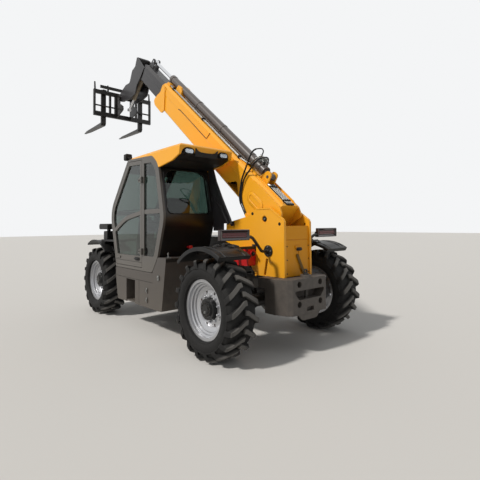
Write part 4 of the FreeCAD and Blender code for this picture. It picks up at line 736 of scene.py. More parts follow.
# %% [markdown]
# ## Wheel hubs
# The hub is the planet gearbox of the axle. It is a black drum with a ring of small bolts round its
# cover, a plug to fill it with oil, and ten wheel nuts round it that hold the disc of the rim. Each
# nut is a hexagon on a washer, with the end of its stud standing out of it. The nuts are sprayed
# with the rim.

# %% Wheel nuts, cover bolts and plugs
NUT_COUNT, NUT_CIRCLE, NUT_FACE = 10, 146, 51
COVER_BOLTS, COVER_CIRCLE, COVER_FACE = 12, 70, 118
STUD_END = [(14, 8), (22, 8), (24, 6)]
PLUG_FACE, PLUG_DROP = 126, 30
VALVE_BACK, VALVE_FACE, VALVE_DROP = 225, 78, 70
VALVE = [(-30, 6), (10, 6), (12, 8), (30, 8), (33, 5)]


def on_hub(x, side, angle, circle, face):
    """Point on a circle of a wheel's hub, on a face so many mm outside the tyre's middle."""
    return at(x + math.cos(angle) * circle, side * (TYRE_CENTRE_Y + face),
              TYRE_CENTRE_Z + math.sin(angle) * circle)


for corner, x, side in WHEELS:
    out = Y_AXIS * side
    nuts, cover = bmesh.new(), bmesh.new()
    for i in range(NUT_COUNT):
        place = on_hub(x, side, math.tau * (i + 0.5) / NUT_COUNT, NUT_CIRCLE, NUT_FACE)
        bolt_head(nuts, place, out, height=14)
        turned(nuts, STUD_END, place, out, steps=12)
    for i in range(COVER_BOLTS):
        place = on_hub(x, side, math.tau * i / COVER_BOLTS, COVER_CIRCLE, COVER_FACE)
        bolt_head(cover, place, out, across=13, height=7)
    as_piece(f"{corner}_wheel_nuts", nuts, rim_paint, f"{corner}_wheel", "rim_silver", sharp=25)
    as_piece(f"{corner}_hub_cover_bolts", cover, black_enamel, f"{corner}_wheel", "black_steel",
             sharp=25)
    plug = bmesh.new()
    place = at(x, side * (TYRE_CENTRE_Y + PLUG_FACE), TYRE_CENTRE_Z - PLUG_DROP)
    turned(plug, [(0, 15), (3, 15)], place, out, steps=24)
    turned(plug, [(3, 11), (10, 11), (12, 9)], place, out, steps=6)
    valve = at(x - VALVE_BACK, side * (TYRE_CENTRE_Y + VALVE_FACE), TYRE_CENTRE_Z - VALVE_DROP)
    turned(plug, VALVE, valve, out, steps=16)
    as_piece(f"{corner}_oil_plug_and_valve", plug, zinc_plate, f"{corner}_wheel", "zinc_pipe",
             sharp=25)
print("wheel nuts on each wheel:", NUT_COUNT)

# %% [markdown]
# ## Rear fenders
# Each rear fender is one moulding of black polyethylene, bent over the wheel like a strip of the
# same circle. Two raised ribs stiffen its outer edge and one its inner edge, lips fold down on both
# sides, and its rear end folds down to stop the mud. It sits on two steel channels, its stays, that
# are bolted to the mast. The shape is one cross-section carried along an arc, which is how the
# mould was cut, too.

# %% Rear fenders and their stays
FENDER_SECTION = [(1150, -30), (1150, 11), (1146, 15), (1124, 15), (1120, 8), (1064, 8), (1060, 15),
                  (1042, 15), (1038, 8), (790, 8), (786, 14), (770, 14), (766, 8), (714, 8),
                  (702, 0), (702, -30), (709, -30), (709, -2), (1142, -2), (1142, -30)]
FENDER_RADIUS = 671
FENDER_FRONT, FENDER_REAR = 47, 120
FENDER_STEPS = 30
FENDER_FOLD = ((1148, -40), (1148, 6), (704, 6), (704, -40))
FOLD_ANGLE = 0.6
FENDER_TOP = 8
MAST_FACE_Y = 244
STAY_PLACES = (70, 220)
STAY_END, STAY_WIDTH, STAY_DROP = 1000, 50, 14
STAY_PARTS = ((0, 0, 8, STAY_WIDTH), (0, -24, 0, 6), (44, -24, 0, 6))  # a web and two flanges
STAY_FOOT = [(-8, -52), (58, -52), (58, 30), (-8, 30)]
STAY_BOLTS_Y = (760, 880, 1010)


def fender_point(angle, y, rise):
    """Point of a rear fender at an angle round its wheel, in degrees up from straight ahead."""
    turn = math.radians(angle)
    reach = FENDER_RADIUS + rise
    return at(math.cos(turn) * reach, y, TYRE_CENTRE_Z + math.sin(turn) * reach)


for side_name, side in SIDES:
    bm = bmesh.new()
    angles = [FENDER_FRONT + (FENDER_REAR - FENDER_FRONT) * k / FENDER_STEPS
              for k in range(FENDER_STEPS + 1)]
    joined(bm, [[bm.verts.new(fender_point(angle, side * y, rise)) for y, rise in FENDER_SECTION]
                for angle in angles])
    joined(bm, [[bm.verts.new(fender_point(angle, side * y, rise)) for y, rise in FENDER_FOLD]
                for angle in (FENDER_REAR - FOLD_ANGLE, FENDER_REAR)])
    as_piece(f"{side_name}_rear_fender", bm, fender_plastic, "root", "black_plastic",
             "rear_fenders")
    stays, heads = bmesh.new(), []
    for x in STAY_PLACES:
        under = TYRE_CENTRE_Z + math.sqrt(FENDER_RADIUS ** 2 - (x + STAY_WIDTH) ** 2) - STAY_DROP
        for across, low, high, through in STAY_PARTS:
            strip = [(MAST_FACE_Y, low), (STAY_END, low), (STAY_END, high), (MAST_FACE_Y, high)]
            plate(stays, strip, at(x + across, 0, under), Y_AXIS * side, Z_AXIS,
                  X_AXIS * through * MM)
        plate(stays, STAY_FOOT, at(x, side * MAST_FACE_Y, under), X_AXIS, Z_AXIS,
              Y_AXIS * side * 9 * MM)
        middle = math.degrees(math.acos((x + STAY_WIDTH / 2) / (FENDER_RADIUS + FENDER_TOP)))
        heads += [fender_point(middle, side * y, FENDER_TOP + 1) for y in STAY_BOLTS_Y]
    as_piece(f"{side_name}_fender_stays", stays, black_enamel, "root", "black_steel",
             "rear_fenders", bevel=1.5)
    bolts(f"{side_name}_fender_bolts", heads, Z_AXIS, black_enamel, "root", "black_steel",
          across=22, height=9)
print("fender arc:", FENDER_REAR - FENDER_FRONT, "degrees")

# %% Brackets on the fender deck
BRACKETS = ((99, 770, 110, 14), (90, 770, 110, 26), (81, 770, 110, 14), (90, 900, 60, 14))
for side_name, side in SIDES:
    bm = bmesh.new()
    for angle, y, length, height in BRACKETS:
        along = (fender_point(angle + 1, 0, 0) - fender_point(angle, 0, 0)).normalized()
        rise = fender_point(angle, 0, height) - fender_point(angle, 0, 0)
        plate(bm, rounded(length, 58, 8, 3), fender_point(angle, side * y, FENDER_TOP),
              Y_AXIS * side, along, rise)
        for shift in (-length * 0.3, length * 0.3):
            bolt_head(bm, fender_point(angle, side * (y + shift), FENDER_TOP + height),
                      rise.normalized(), across=19, height=8)
    bar(bm, [fender_point(angle, side * 712, 22) for angle in range(78, 104, 4)], 9)
    as_piece(f"{side_name}_fender_brackets", bm, black_enamel, "root", "black_steel", sharp=30)
print("brackets on each fender:", len(BRACKETS))

# %% [markdown]
# ## Tail lamps
# The tail lamps are long injection-moulded boxes. A smoky red frame with sloping sides surrounds a
# sunken strip that is ribbed along its length, so that it spreads the light of the bulbs behind.
# Each hangs on a bent steel tube from a round flange on the mast, which is how it clears the wheel.

# %% Tail lamps
LAMP_REAR_X = -242
LAMP_MIDDLE = (838, 1366)
LAMP_LENGTH, LAMP_HEIGHT, LAMP_DEPTH = 424, 122, 44
LAMP_STRIP = (352, 50)
LAMP_RIBS_Z = (-19, 0, 19)
RIB_HALF = 172
STRIP_DEPTH = 14

for side_name, side in SIDES:
    y, z = LAMP_MIDDLE
    bm = bmesh.new()
    frame_rings = [(LAMP_LENGTH, LAMP_HEIGHT, 10, LAMP_DEPTH), (LAMP_LENGTH, LAMP_HEIGHT, 10, 6),
                   (LAMP_LENGTH - 10, LAMP_HEIGHT - 10, 8, 0),
                   (LAMP_LENGTH - 22, LAMP_HEIGHT - 22, 6, 0),
                   (LAMP_STRIP[0] + 10, LAMP_STRIP[1] + 8, 5, 16),
                   (LAMP_STRIP[0] + 6, LAMP_STRIP[1] + 4, 4, 22)]
    joined(bm, [[bm.verts.new(at(LAMP_REAR_X + depth, side * (y + u), z + v))
                 for u, v in rounded(width, height, radius, 3)]
                for width, height, radius, depth in frame_rings])
    as_piece(f"{side_name}_tail_lamp_frame", bm, smoked_acrylic, "root", "lamp_lens", "tail_lamps",
             sharp=20)
    bm = bmesh.new()
    plate(bm, rounded(*LAMP_STRIP, 4, 3), at(LAMP_REAR_X + STRIP_DEPTH, side * y, z), Y_AXIS * side,
          Z_AXIS, X_AXIS * 6 * MM)
    for level in LAMP_RIBS_Z:
        bar(bm, [at(LAMP_REAR_X + STRIP_DEPTH, side * (y + u), z + level)
                 for u in (-RIB_HALF, RIB_HALF)], 5, steps=8)
    as_piece(f"{side_name}_tail_lamp_strip", bm, red_acrylic, "root", "lamp_lens", "tail_lamps",
             sharp=20)
    bm = bmesh.new()
    edge = [at(LAMP_REAR_X + 1, side * (y + u), z + v)
            for u, v in rounded(LAMP_LENGTH - 16, LAMP_HEIGHT - 16, 7, 3)]
    bar(bm, edge, 2, steps=6, closed=True)
    end = at(LAMP_REAR_X - 1, side * (y + LAMP_LENGTH / 2 - 16), z)
    plate(bm, rounded(14, LAMP_HEIGHT - 30, 5, 3), end, Y_AXIS * side, Z_AXIS, X_AXIS * 4 * MM)
    as_piece(f"{side_name}_tail_lamp_rim", bm, lamp_grey, "root", "black_plastic", "tail_lamps",
             sharp=20)
print("tail lamp strip:", LAMP_STRIP, "mm")

# %% Lamp arms on their flanges
FLANGE_X, FLANGE_Z = -155, 1160
FLANGE = [(0, 70), (12, 70), (15, 67), (15, 30), (26, 26), (40, 22)]
FLANGE_BOLTS = ((0, 48), (0, -48), (48, 0), (-48, 0))
ARM_RADIUS = 18
ARM = ((-155, 270, 1160), (-155, 345, 1160), (-161, 372, 1168), (-171, 400, 1190),
       (-200, 520, 1298), (-207, 556, 1326), (-212, 590, 1340), (-214, 650, 1344))
for side_name, side in SIDES:
    bm = bmesh.new()
    out = Y_AXIS * side
    turned(bm, FLANGE, at(FLANGE_X, side * MAST_FACE_Y, FLANGE_Z), out, steps=40)
    bar(bm, [at(x, side * y, z) for x, y, z in ARM], ARM_RADIUS, steps=16)
    plate(bm, rounded(64, 70, 8, 3), at(-198, side * 634, 1344), Y_AXIS, Z_AXIS, X_AXIS * -8 * MM)
    as_piece(f"{side_name}_lamp_arm", bm, black_enamel, "root", "black_steel", "lamp_arms")
    places = [at(FLANGE_X + dx, side * (MAST_FACE_Y + 15), FLANGE_Z + dz)
              for dx, dz in FLANGE_BOLTS]
    bolts(f"{side_name}_lamp_arm_bolts", places, out, zinc_plate, "root", "zinc_pipe", across=17,
          height=8)
print("lamp arm:", 2 * ARM_RADIUS, "mm tube")

# %% [markdown]
# ## Work lamps
# A work lamp is a pot with a bright dish at its bottom and a clear lens in front. The dish is
# plastic coated with aluminium in a vacuum, so it mirrors whatever is in front of it. The housings
# are in place already; the dish, the lens and the rim are added here, as three thin layers whose
# outline is the lamp's own.

# %% Dishes, lenses and rims of the work lamps
ROOF_LAMP_FACE = 500
ROOF_LAMP_Z = 2393
WORK_LAMPS = [("roof_lamp_left", ROOF_LAMP_FACE, 945, ROOF_LAMP_Z, 134, 60, -1),
              ("roof_lamp_right", ROOF_LAMP_FACE, 409, ROOF_LAMP_Z, 134, 60, -1),
              ("stalk_lamp_left", 2164, 1000, 2536, 90, 86, 1),
              ("stalk_lamp_right", 2164, 352, 2536, 90, 86, 1),
              ("fender_lamp_left", 3144, 970, 1471, 150, 74, 1),
              ("fender_lamp_right", 3144, -970, 1471, 150, 74, 1)]
LAMP_LAYERS = (("rim", ((1, 0), (1, 7), (0.9, 8), (0.88, 2), (0.86, 0.5))),
               ("dish", ((0.88, 4), (0.7, 2.4), (0.4, 1.2), (0.15, 0.8))),
               ("lens", ((0.88, 5), (0.84, 6.5), (0.5, 8), (0.15, 8.6))))
for name, x, y, z, width, height, way in WORK_LAMPS:
    radius = min(width, height) / 2 - 2
    layers = {}
    for layer, rings in LAMP_LAYERS:
        bm = bmesh.new()
        joined(bm, [[bm.verts.new(at(x + way * depth, y + u * share, z + v * share)) for u, v in
                     rounded(width, height, radius, 7)] for share, depth in rings])
        layers[layer] = bm
    as_piece(f"{name}_rim", layers["rim"], black_plastic, "root", "black_plastic", sharp=40)
    as_piece(f"{name}_dish", layers["dish"], lamp_dish, "root", "zinc_pipe", sharp=60)
    as_piece(f"{name}_lens", layers["lens"], clear_acrylic, "root", "cab_glass", sharp=60)
print("work lamps:", len(WORK_LAMPS))

# %% [markdown]
# ## The driver's seat
# The seat is moulded foam in a vinyl cover, on a scissor base that a rubber bellows hides. A foam
# cushion is never flat: it is crowned in the middle, its edges are pulled in by the seam, and a
# piping cord runs round that seam. Each cushion is a fine grid wrapped into a closed pad, with its
# thickness falling towards the edge and dipping along the sewn channels, then smoothed by one
# subdivision.

# %% Cushions
PAD_CELLS = 22
PAD_EDGE = ([(i, 0) for i in range(PAD_CELLS)] + [(PAD_CELLS, j) for j in range(PAD_CELLS)]
            + [(i, PAD_CELLS) for i in range(PAD_CELLS, 0, -1)]
            + [(0, j) for j in range(PAD_CELLS, 0, -1)])
CROWN = 0.16
CHANNEL_DEPTH, CHANNEL_WIDTH = 0.2, 0.045
PIPING_RADIUS = 5


def pad(bm, place, across, along, through, size, channels):
    """A closed crowned pad of a given size in mm, with sewn channels at shares of its length."""
    width, length, thickness = size
    sheets = []
    for face in (1, -1):
        grid = []
        for i in range(PAD_CELLS + 1):
            row = []
            for j in range(PAD_CELLS + 1):
                u, v = 2 * i / PAD_CELLS - 1, 2 * j / PAD_CELLS - 1
                corner = 1 - 0.05 * (u * v) ** 4 - 0.02 * (abs(u) ** 6 + abs(v) ** 6)
                swell = (1 - abs(u) ** 5) * (1 - abs(v) ** 5)
                rise = 0.32 + 0.68 * swell ** 0.4 + CROWN * (1 - u * u) * (1 - v * v)
                if face > 0:
                    rise -= sum(CHANNEL_DEPTH * math.exp(-((v - c) / CHANNEL_WIDTH) ** 2)
                                for c in channels) * swell
                row.append(place + (across * (u * corner * width / 2)
                                    + along * (v * corner * length / 2)
                                    + through * (face * rise * thickness / 2)) * MM)
            grid.append([bm.verts.new(point) for point in row])
        sheets.append(grid)
    for grid in sheets:
        for i in range(PAD_CELLS):
            for j in range(PAD_CELLS):
                bm.faces.new((grid[i][j], grid[i + 1][j], grid[i + 1][j + 1], grid[i][j + 1]))
    for (i, j), (k, m) in zip(PAD_EDGE, PAD_EDGE[1:] + PAD_EDGE[:1]):
        bm.faces.new((sheets[0][i][j], sheets[0][k][m], sheets[1][k][m], sheets[1][i][j]))
    piping = [(sheets[0][i][j].co + sheets[1][i][j].co) / 2 for i, j in PAD_EDGE]
    bar(bm, piping, PIPING_RADIUS, steps=8, closed=True)


SEAT_X, SEAT_Y = 1520, 671
CUSHION_Z = 1240
BACKREST_X, BACKREST_Z = SEAT_X - 244, 1585
BACK_TILT = Vector((-0.134, 0, 0.991))
BACK_FACING = Vector((0.991, 0, 0.134))
CUSHIONS = (("seat_cushion", at(SEAT_X, SEAT_Y, CUSHION_Z), X_AXIS, Z_AXIS, (474, 494, 112),
             (-0.45, 0.05, 0.5)),
            ("seat_backrest", at(BACKREST_X, SEAT_Y, BACKREST_Z), BACK_TILT, BACK_FACING,
             (450, 570, 104), (-0.6, -0.2, 0.2, 0.6)))
for name, place, along, through, size, channels in CUSHIONS:
    bm = bmesh.new()
    pad(bm, place, Y_AXIS, along, through, size, channels)
    cushion = as_piece(name, bm, seat_vinyl, "root", "seat_vinyl", "seat", sharp=60)
    smoothing = cushion.modifiers.new("soft_foam", "SUBSURF")
    smoothing.levels = smoothing.render_levels = 1
print("seat cushions at", shown(at(SEAT_X, SEAT_Y, CUSHION_Z)))

# %% Seat base, bellows and armrests
BACK_POSTS = ((-190, 1210), (-222, 1300), (-262, 1560))
BELLOWS_SIZE = (332, 312)
BELLOWS_FOOT, FOLD_COUNT, FOLD_RISE, FOLD_OUT = 931, 13, 19, 16
bm = bmesh.new()
plate(bm, rounded(350, 330, 20), at(SEAT_X, SEAT_Y, 897), X_AXIS, Y_AXIS, Z_AXIS * 34 * MM)
plate(bm, rounded(420, 380, 30), at(SEAT_X, SEAT_Y, 1158), X_AXIS, Y_AXIS, Z_AXIS * 24 * MM)
for side in (1, -1):
    bar(bm, [at(SEAT_X - 196, SEAT_Y + side * 240, z) for z in (1200, 1400)], 14)
    bar(bm, [at(SEAT_X + x, SEAT_Y + side * 200, z) for x, z in BACK_POSTS], 12)
as_piece("seat_frame", bm, black_enamel, "root", "black_steel", "seat", bevel=2)
bm = bmesh.new()
folds = [(k % 2 * FOLD_OUT, BELLOWS_FOOT + FOLD_RISE * k) for k in range(FOLD_COUNT)]
joined(bm, [[bm.verts.new(at(SEAT_X + u, SEAT_Y + v, z))
             for u, v in rounded(BELLOWS_SIZE[0] + out, BELLOWS_SIZE[1] + out, 24)]
            for out, z in folds])
as_piece("seat_bellows", bm, seal_rubber, "root", "hose_rubber", "seat", sharp=70)
bm = bmesh.new()
for side in (1, -1):
    plate(bm, rounded(320, 50, 22), at(SEAT_X - 40, SEAT_Y + side * 250, 1401), X_AXIS, Y_AXIS,
          Z_AXIS * 36 * MM)
as_piece("seat_armrests", bm, seat_vinyl, "root", "seat_vinyl", "seat", bevel=8)
print("bellows folds:", FOLD_COUNT)

# %% [markdown]
# ## The roof's rear
# The yellow roof ends in a visor. Between its two rear lamps the visor is closed by a black
# moulding whose upper edge rises round each lamp, so that only a narrow yellow brow is left above
# it. It is one thin plate whose outline was drawn as that brow needs it, leaning with the roof's
# sloping end.

# %% Black moulding between the rear roof lamps
BROW = [(503, 2340), (503, 2444), (511, 2440), (528, 2424), (552, 2408), (590, 2398), (680, 2395),
        (764, 2398), (802, 2408), (826, 2424), (843, 2440), (851, 2444), (851, 2340)]
BROW_FACES = (3, -10)
ROOF_END_X, ROOF_END_Z, ROOF_END_SLOPE = 521, 2352, 23 / 110

bm = bmesh.new()
joined(bm, [[bm.verts.new(at(ROOF_END_X - (z - ROOF_END_Z) * ROOF_END_SLOPE + out, y, z))
             for y, z in BROW] for out in BROW_FACES])
as_piece("roof_visor_moulding", bm, black_plastic, "root", "black_plastic", bevel=1)
print("brow width:", BROW[-1][0] - BROW[0][0], "mm")

# %% [markdown]
# ## Pipes and fittings on the boom
# Oil reaches the boom's tip through zinc-plated steel pipes that lie side by side in clamps. They
# are drawn as bars, because a steel pipe keeps its section through a bend. The five at the boom's
# foot lie on a rubber mat and have a hexagon union nut on each end. Where the two hoses start, a
# block with several adapters sits on the extension cylinder.

# %% Five pipes at the boom's foot
PIPE_ROWS, PIPE_PITCH = (-2, -1, 0, 1, 2), 25
FOOT_PIPE_N = 272
FOOT_PIPE_FROM, FOOT_PIPE_TO, FOOT_PIPE_RADIUS = -52, 375, 6.5
UNION_NUT = [(0, 11.5), (24, 11.5), (27, 9)]
LOWER_NUTS, UPPER_NUTS = -56, 352
FOOT_CLAMPS, CLAMP_BOLTS_Y = (20, 310), (-39, 0, 39)

bm, clamps = bmesh.new(), bmesh.new()
for row in PIPE_ROWS:
    y = row * PIPE_PITCH
    bar(bm, [on_boom(s, y, FOOT_PIPE_N) for s in (FOOT_PIPE_FROM, FOOT_PIPE_TO)], FOOT_PIPE_RADIUS,
        steps=14)
    for piece, s in ((clamps, LOWER_NUTS), (bm, UPPER_NUTS)):
        turned(piece, UNION_NUT, on_boom(s, y, FOOT_PIPE_N), ALONG, steps=6)
for s in FOOT_CLAMPS:
    plate(clamps, rounded(128, 26, 4, 3), on_boom(s, 0, FOOT_PIPE_N), SIDEWAYS, OUTWARD,
          ALONG * 14 * MM)
    for y in CLAMP_BOLTS_Y:
        bolt_head(clamps, on_boom(s + 7, y, FOOT_PIPE_N + 13), OUTWARD, across=10, height=5)
mat = bmesh.new()
plate(mat, rounded(136, 3, 1, 2), on_boom(-50, 0, 260.5), SIDEWAYS, OUTWARD, ALONG * 420 * MM)
as_piece("boom_foot_mat", mat, seal_rubber, "boom", "hose_rubber", "boom_pipes")
as_piece("boom_foot_pipes", bm, zinc_plate, "boom", "zinc_pipe", "boom_pipes", sharp=25)
as_piece("boom_foot_clamps", clamps, black_plastic, "boom", "black_plastic", "boom_pipes", bevel=1)
print("pipes at the boom's foot:", len(PIPE_ROWS))

# %% Long pipes beside the extension cylinder
LONG_PIPES_Y, LONG_PIPES_N = (96, 112, 128), 283
LONG_RUN = ((800, 0.86, 30), (880, 0.92, 12), (960, 1, 0), (3330, 1, 0), (3390, 0.94, 6))
LONG_CLAMPS = (1010, 2120, 3240)

bm, clamps = bmesh.new(), bmesh.new()
for y in LONG_PIPES_Y:
    bar(bm, [on_boom(s, y * share, LONG_PIPES_N + lift) for s, share, lift in LONG_RUN], 6,
        steps=12)
for s in LONG_CLAMPS:
    plate(clamps, rounded(62, 34, 5, 3), on_boom(s, 112, 280), SIDEWAYS, OUTWARD, ALONG * 24 * MM)
    plate(clamps, rounded(66, 4, 1, 2), on_boom(s, 112, 299), SIDEWAYS, OUTWARD, ALONG * 24 * MM)
    for y in (104, 120):
        bolt_head(clamps, on_boom(s + 12, y, 301), OUTWARD, across=10, height=5)
as_piece("boom_long_pipes", bm, zinc_plate, "boom", "zinc_pipe")
as_piece("boom_pipe_clamps", clamps, black_plastic, "boom", "black_plastic", bevel=1)
print("long pipes:", len(LONG_PIPES_Y))

# %% Valve block and adapters on the cylinder
ADAPTERS = ((766, 0, 440, OUTWARD, 26), (610, 0, 414, OUTWARD, 26), (690, -34, 456, OUTWARD, 14),
            (665, 34, 456, OUTWARD, 14), (715, 34, 456, OUTWARD, 12), (690, 50, 432, SIDEWAYS, 15),
            (660, -50, 432, -SIDEWAYS, 15), (640, 0, 440, -ALONG, 14), (736, 20, 440, ALONG, 13))
SHORT_PIPES = (((665, 34, 490), (672, 52, 506), (740, 80, 440), (800, 83, 314)),
               ((715, 34, 488), (722, 44, 500), (760, 92, 420), (800, 96, 314)))
SHORT_PIPE_RADIUS = 6

bm = bmesh.new()
plate(bm, rounded(100, 52, 5, 3), on_boom(640, 0, 430), SIDEWAYS, OUTWARD, ALONG * 96 * MM)
plate(bm, rounded(60, 34, 5, 3), on_boom(655, 0, 470), SIDEWAYS, OUTWARD, ALONG * 60 * MM)
as_piece("boom_valve_block", bm, zinc_plate, "boom", "zinc_pipe", bevel=2)
bm = bmesh.new()
for s, y, n, axis, size in ADAPTERS:
    hexagons = [(0, size * 0.9), (12, size * 0.9), (13, size * 0.7), (20, size * 0.7)]
    turned(bm, hexagons, on_boom(s, y, n), axis, steps=6)
    turned(bm, [(18, size * 0.55), (36, size * 0.5), (38, size * 0.4)], on_boom(s, y, n), axis,
           steps=16)
for places in SHORT_PIPES:
    bar(bm, [on_boom(*place) for place in places], SHORT_PIPE_RADIUS)
as_piece("boom_adapters", bm, zinc_plate, "boom", "zinc_pipe", sharp=25)
print("valve block at", shown(on_boom(690, 0, 440)))

# %% [markdown]
# ## Painted shadow lines and beads on the boom
# A plate is welded onto each side of the boom, and the shadow gap along its lower edge is drawn as
# a thin dark line: painted shadow. It is a bar, half sunk into the steel. The cheek at the boom's
# foot has an oblong pressed into it, whose rolled lip catches the sun below and shades itself
# above.

# %% Painted shadow lines under the side plates, pressed oblongs in the cheeks
SIDE_PLATE_SHADOW_LINE = [(2800, 108), (2740, 121), (2500, 124), (1860, 119), (1800, 121), (1780, 136),
             (1763, 214), (1758, 232)]
SHADOW_LINE_Y, SHADOW_LINE_RADIUS = 176, 5
OBLONG_S, OBLONG_N = 321, 28
OBLONG_LIP = [(330, 160, 80, 189.7), (256, 86, 43, 196.5), (250, 80, 40, 197), (234, 64, 32, 190),
              (222, 52, 26, 180)]

for side_name, side in SIDES:
    bm = bmesh.new()
    # a dark bar laid in the gap under the side plate's lower edge as painted shadow
    bar(bm, [on_boom(s, side * SHADOW_LINE_Y, n) for s, n in SIDE_PLATE_SHADOW_LINE], SHADOW_LINE_RADIUS, steps=10)
    as_piece(f"{side_name}_side_plate_shadow_line", bm, seal_rubber, "boom", "hose_rubber")
    bm = bmesh.new()
    joined(bm, [[bm.verts.new(on_boom(OBLONG_S + u, side * y, OBLONG_N + v))
                 for u, v in rounded(length, height, radius, 8)]
                for length, height, radius, y in OBLONG_LIP])
    as_piece(f"{side_name}_cheek_oblong", bm, boom_enamel, "boom", "boom_yellow", sharp=50)
print("sealant line:", len(SIDE_PLATE_SHADOW_LINE), "points on each side")

# %% [markdown]
# ## Pins and dark hole discs on the mast
# The boom turns on one thick pin. Its end shows in each mast plate as a dark disc with the bolt of
# its keeper. Two holes in each plate are dark inside, and that shade is drawn as black flanged
# discs set into them: painted shade. Caps and discs are round, so all of them are turned.

# %% Pivot caps, painted-shade hole discs and keepers
PIN_X, PIN_Z, PIN_END_Y = -92, 1548, 238
PIN_CAP = [(-4, 31), (5, 31), (8, 28), (8, 18), (4, 15)]
HOLE_SHADE_DISC = [(-10, 15.5), (0, 15.5), (0, 20), (3, 19), (4, 12)]
HOLE_SHADE_PLACES = ((-341, 1485), (123, 1620))
MAST_BOLTS = ((430, 1300), (560, 1420))

for side_name, side in SIDES:
    out = Y_AXIS * side
    bm = bmesh.new()
    turned(bm, PIN_CAP, at(PIN_X, side * PIN_END_Y, PIN_Z), out, steps=40)
    # black flanged discs in two holes: painted shade for the holes' dark insides
    for x, z in HOLE_SHADE_PLACES:
        turned(bm, HOLE_SHADE_DISC, at(x, side * MAST_FACE_Y, z), out, steps=24)
    as_piece(f"{side_name}_mast_caps_and_hole_shade_discs", bm, seal_rubber, "root", "hose_rubber", sharp=35)
    bolts(f"{side_name}_pivot_bolt", [at(PIN_X, side * (PIN_END_Y + 4), PIN_Z)], out, zinc_plate,
          "root", "zinc_pipe", across=17, height=7)
    bolts(f"{side_name}_mast_bolts", [at(x, side * MAST_FACE_Y, z) for x, z in MAST_BOLTS], out,
          boom_enamel, "root", "boom_yellow", height=9)
print("boom pin at", shown(at(PIN_X, 0, PIN_Z)))

# %% [markdown]
# ## Window seals
# Each pane is held by a black rubber seal that is pushed between the glass and the frame. The flat
# panes are cut at the middle of their thickness to read their own outline, and the seal is swept
# round it. The rear window and the windscreens are curved sheets, so their outline is dropped onto
# the cab with rays.

# %% Seals of the flat side panes
SEAL_RADIUS = 7
LEAST_STEP = 2 * MM
CUT_OFFSET = 0.5 * MM  # keeps the cut clear of the pane's own middle points


def outline_at(node, y):
    """Closed lines of points where a node's mesh crosses the plane at this y, in metres."""
    bm = bmesh.new()
    bm.from_mesh(node.data)
    cut = bmesh.ops.bisect_plane(bm, geom=bm.verts[:] + bm.edges[:] + bm.faces[:],
                                 plane_co=(0, y, 0), plane_no=(0, 1, 0))["geom_cut"]
    edges = {item for item in cut if isinstance(item, bmesh.types.BMEdge)}
    loops = []
    while edges:
        edge = min(edges, key=lambda item: item.index)
        edges.discard(edge)
        start, vert = edge.verts
        loop = [start.co.copy(), vert.co.copy()]
        while vert is not start:
            following = [item for item in vert.link_edges if item in edges]
            if not following:
                break
            edges.discard(following[0])
            vert = following[0].other_vert(vert)
            loop.append(vert.co.copy())
        loops.append([point for point, last in zip(loop, [loop[-1]] + loop)
                      if (point - last).length > LEAST_STEP])
    bm.free()
    return [loop for loop in loops if len(loop) > 3]


def seal(name, loops, offset, body):
    """One rubber seal round each loop, moved sideways to lie on the glass."""
    bm = bmesh.new()
    for loop in loops:
        path = [point + offset for point in loop]
        if (path[0] - path[-1]).length < LEAST_STEP:
            path.pop()
        bar(bm, path, SEAL_RADIUS, steps=8, closed=True)
    return as_piece(name, bm, seal_rubber, body, "hose_rubber", sharp=60)


DOOR_GLASS_Y, RIGHT_GLASS_Y = 1.057, 0.285
FLAT_PANES = (("door_glass_seal", "door_glass", DOOR_GLASS_Y, "door"),
              ("quarter_glass_seal", "cab_glass", DOOR_GLASS_Y, "root"),
              ("right_glass_seal", "cab_glass", RIGHT_GLASS_Y, "root"))
for name, node, y, body in FLAT_PANES:
    loops = outline_at(nodes[node], y + CUT_OFFSET)
    for face, way in (("outer", 1), ("inner", -1)):
        seal(f"{name}_{face}", loops, Vector((0, way * SEAL_RADIUS * MM, 0)), body)
    print(name, "panes:", len(loops))

# %% Seals of the curved rear window and the windscreens
CAB_MIDDLE_X, RAY_REACH = 1500, 2500
CAB_INSIDE = 0.3
CURVED_PANES = (("rear_window", (316, 1016, 1634, 2231), 64, 1),
                ("lower_windscreen", (316, 1026, 1004, 1656), 24, -1),
                ("upper_windscreen", (316, 1026, 1704, 2356), 24, -1))
bpy.context.view_layer.update()


def onto_cab(y, z, way):
    """Point of the cab's end at a height, seen from behind (way 1) or from the front (way -1)."""
    start = at(CAB_MIDDLE_X - way * RAY_REACH, y, z)
    for name in ("cab_shell", "cab_glass"):
        hit, place, _, _ = nodes[name].ray_cast(start, X_AXIS * way)
        if hit and abs(place.x - at(CAB_MIDDLE_X, 0, 0).x) > CAB_INSIDE:
            return place
    return None


for name, (y0, y1, z0, z1), radius, way in CURVED_PANES:
    loop = [onto_cab((y0 + y1) / 2 + u, (z0 + z1) / 2 + v, way)
            for u, v in rounded(y1 - y0, z1 - z0, radius, 10)]
    loop = [point for point in loop if point]
    seal(f"{name}_seal", [loop], X_AXIS * -way * 2 * MM, "root")
    print(name, "seal points:", len(loop))

# %% [markdown]
# ## Guard beside the boom
# A bent steel tube runs from under the roof down to the mast, between the cab and the boom, with a
# sheet welded to it. It keeps the driver's arm away from the moving boom. A second, thinner tube
# stiffens the sheet. A tube is a bar along its bends, and the sheet is one plate.

# %% Boom-side guard
GUARD_Y = 286
GUARD_OUTER = [(905, 2290), (826, 2086), (692, 1838), (522, 1559), (490, 1486)]
GUARD_INNER = [(880, 1850), (770, 1790), (640, 1600), (560, 1490)]
GUARD_SHEET = [*GUARD_OUTER[:4], (500, 1500), (652, 1500), (652, 1400), (890, 1400), (890, 1600),
               (935, 1840), (1004, 2180), (1020, 2290)]
GUARD_FOOT_X, GUARD_FOOT_Z = 500, 1496
FOOT_FROM_Y, FOOT_TO_Y = 249, 271

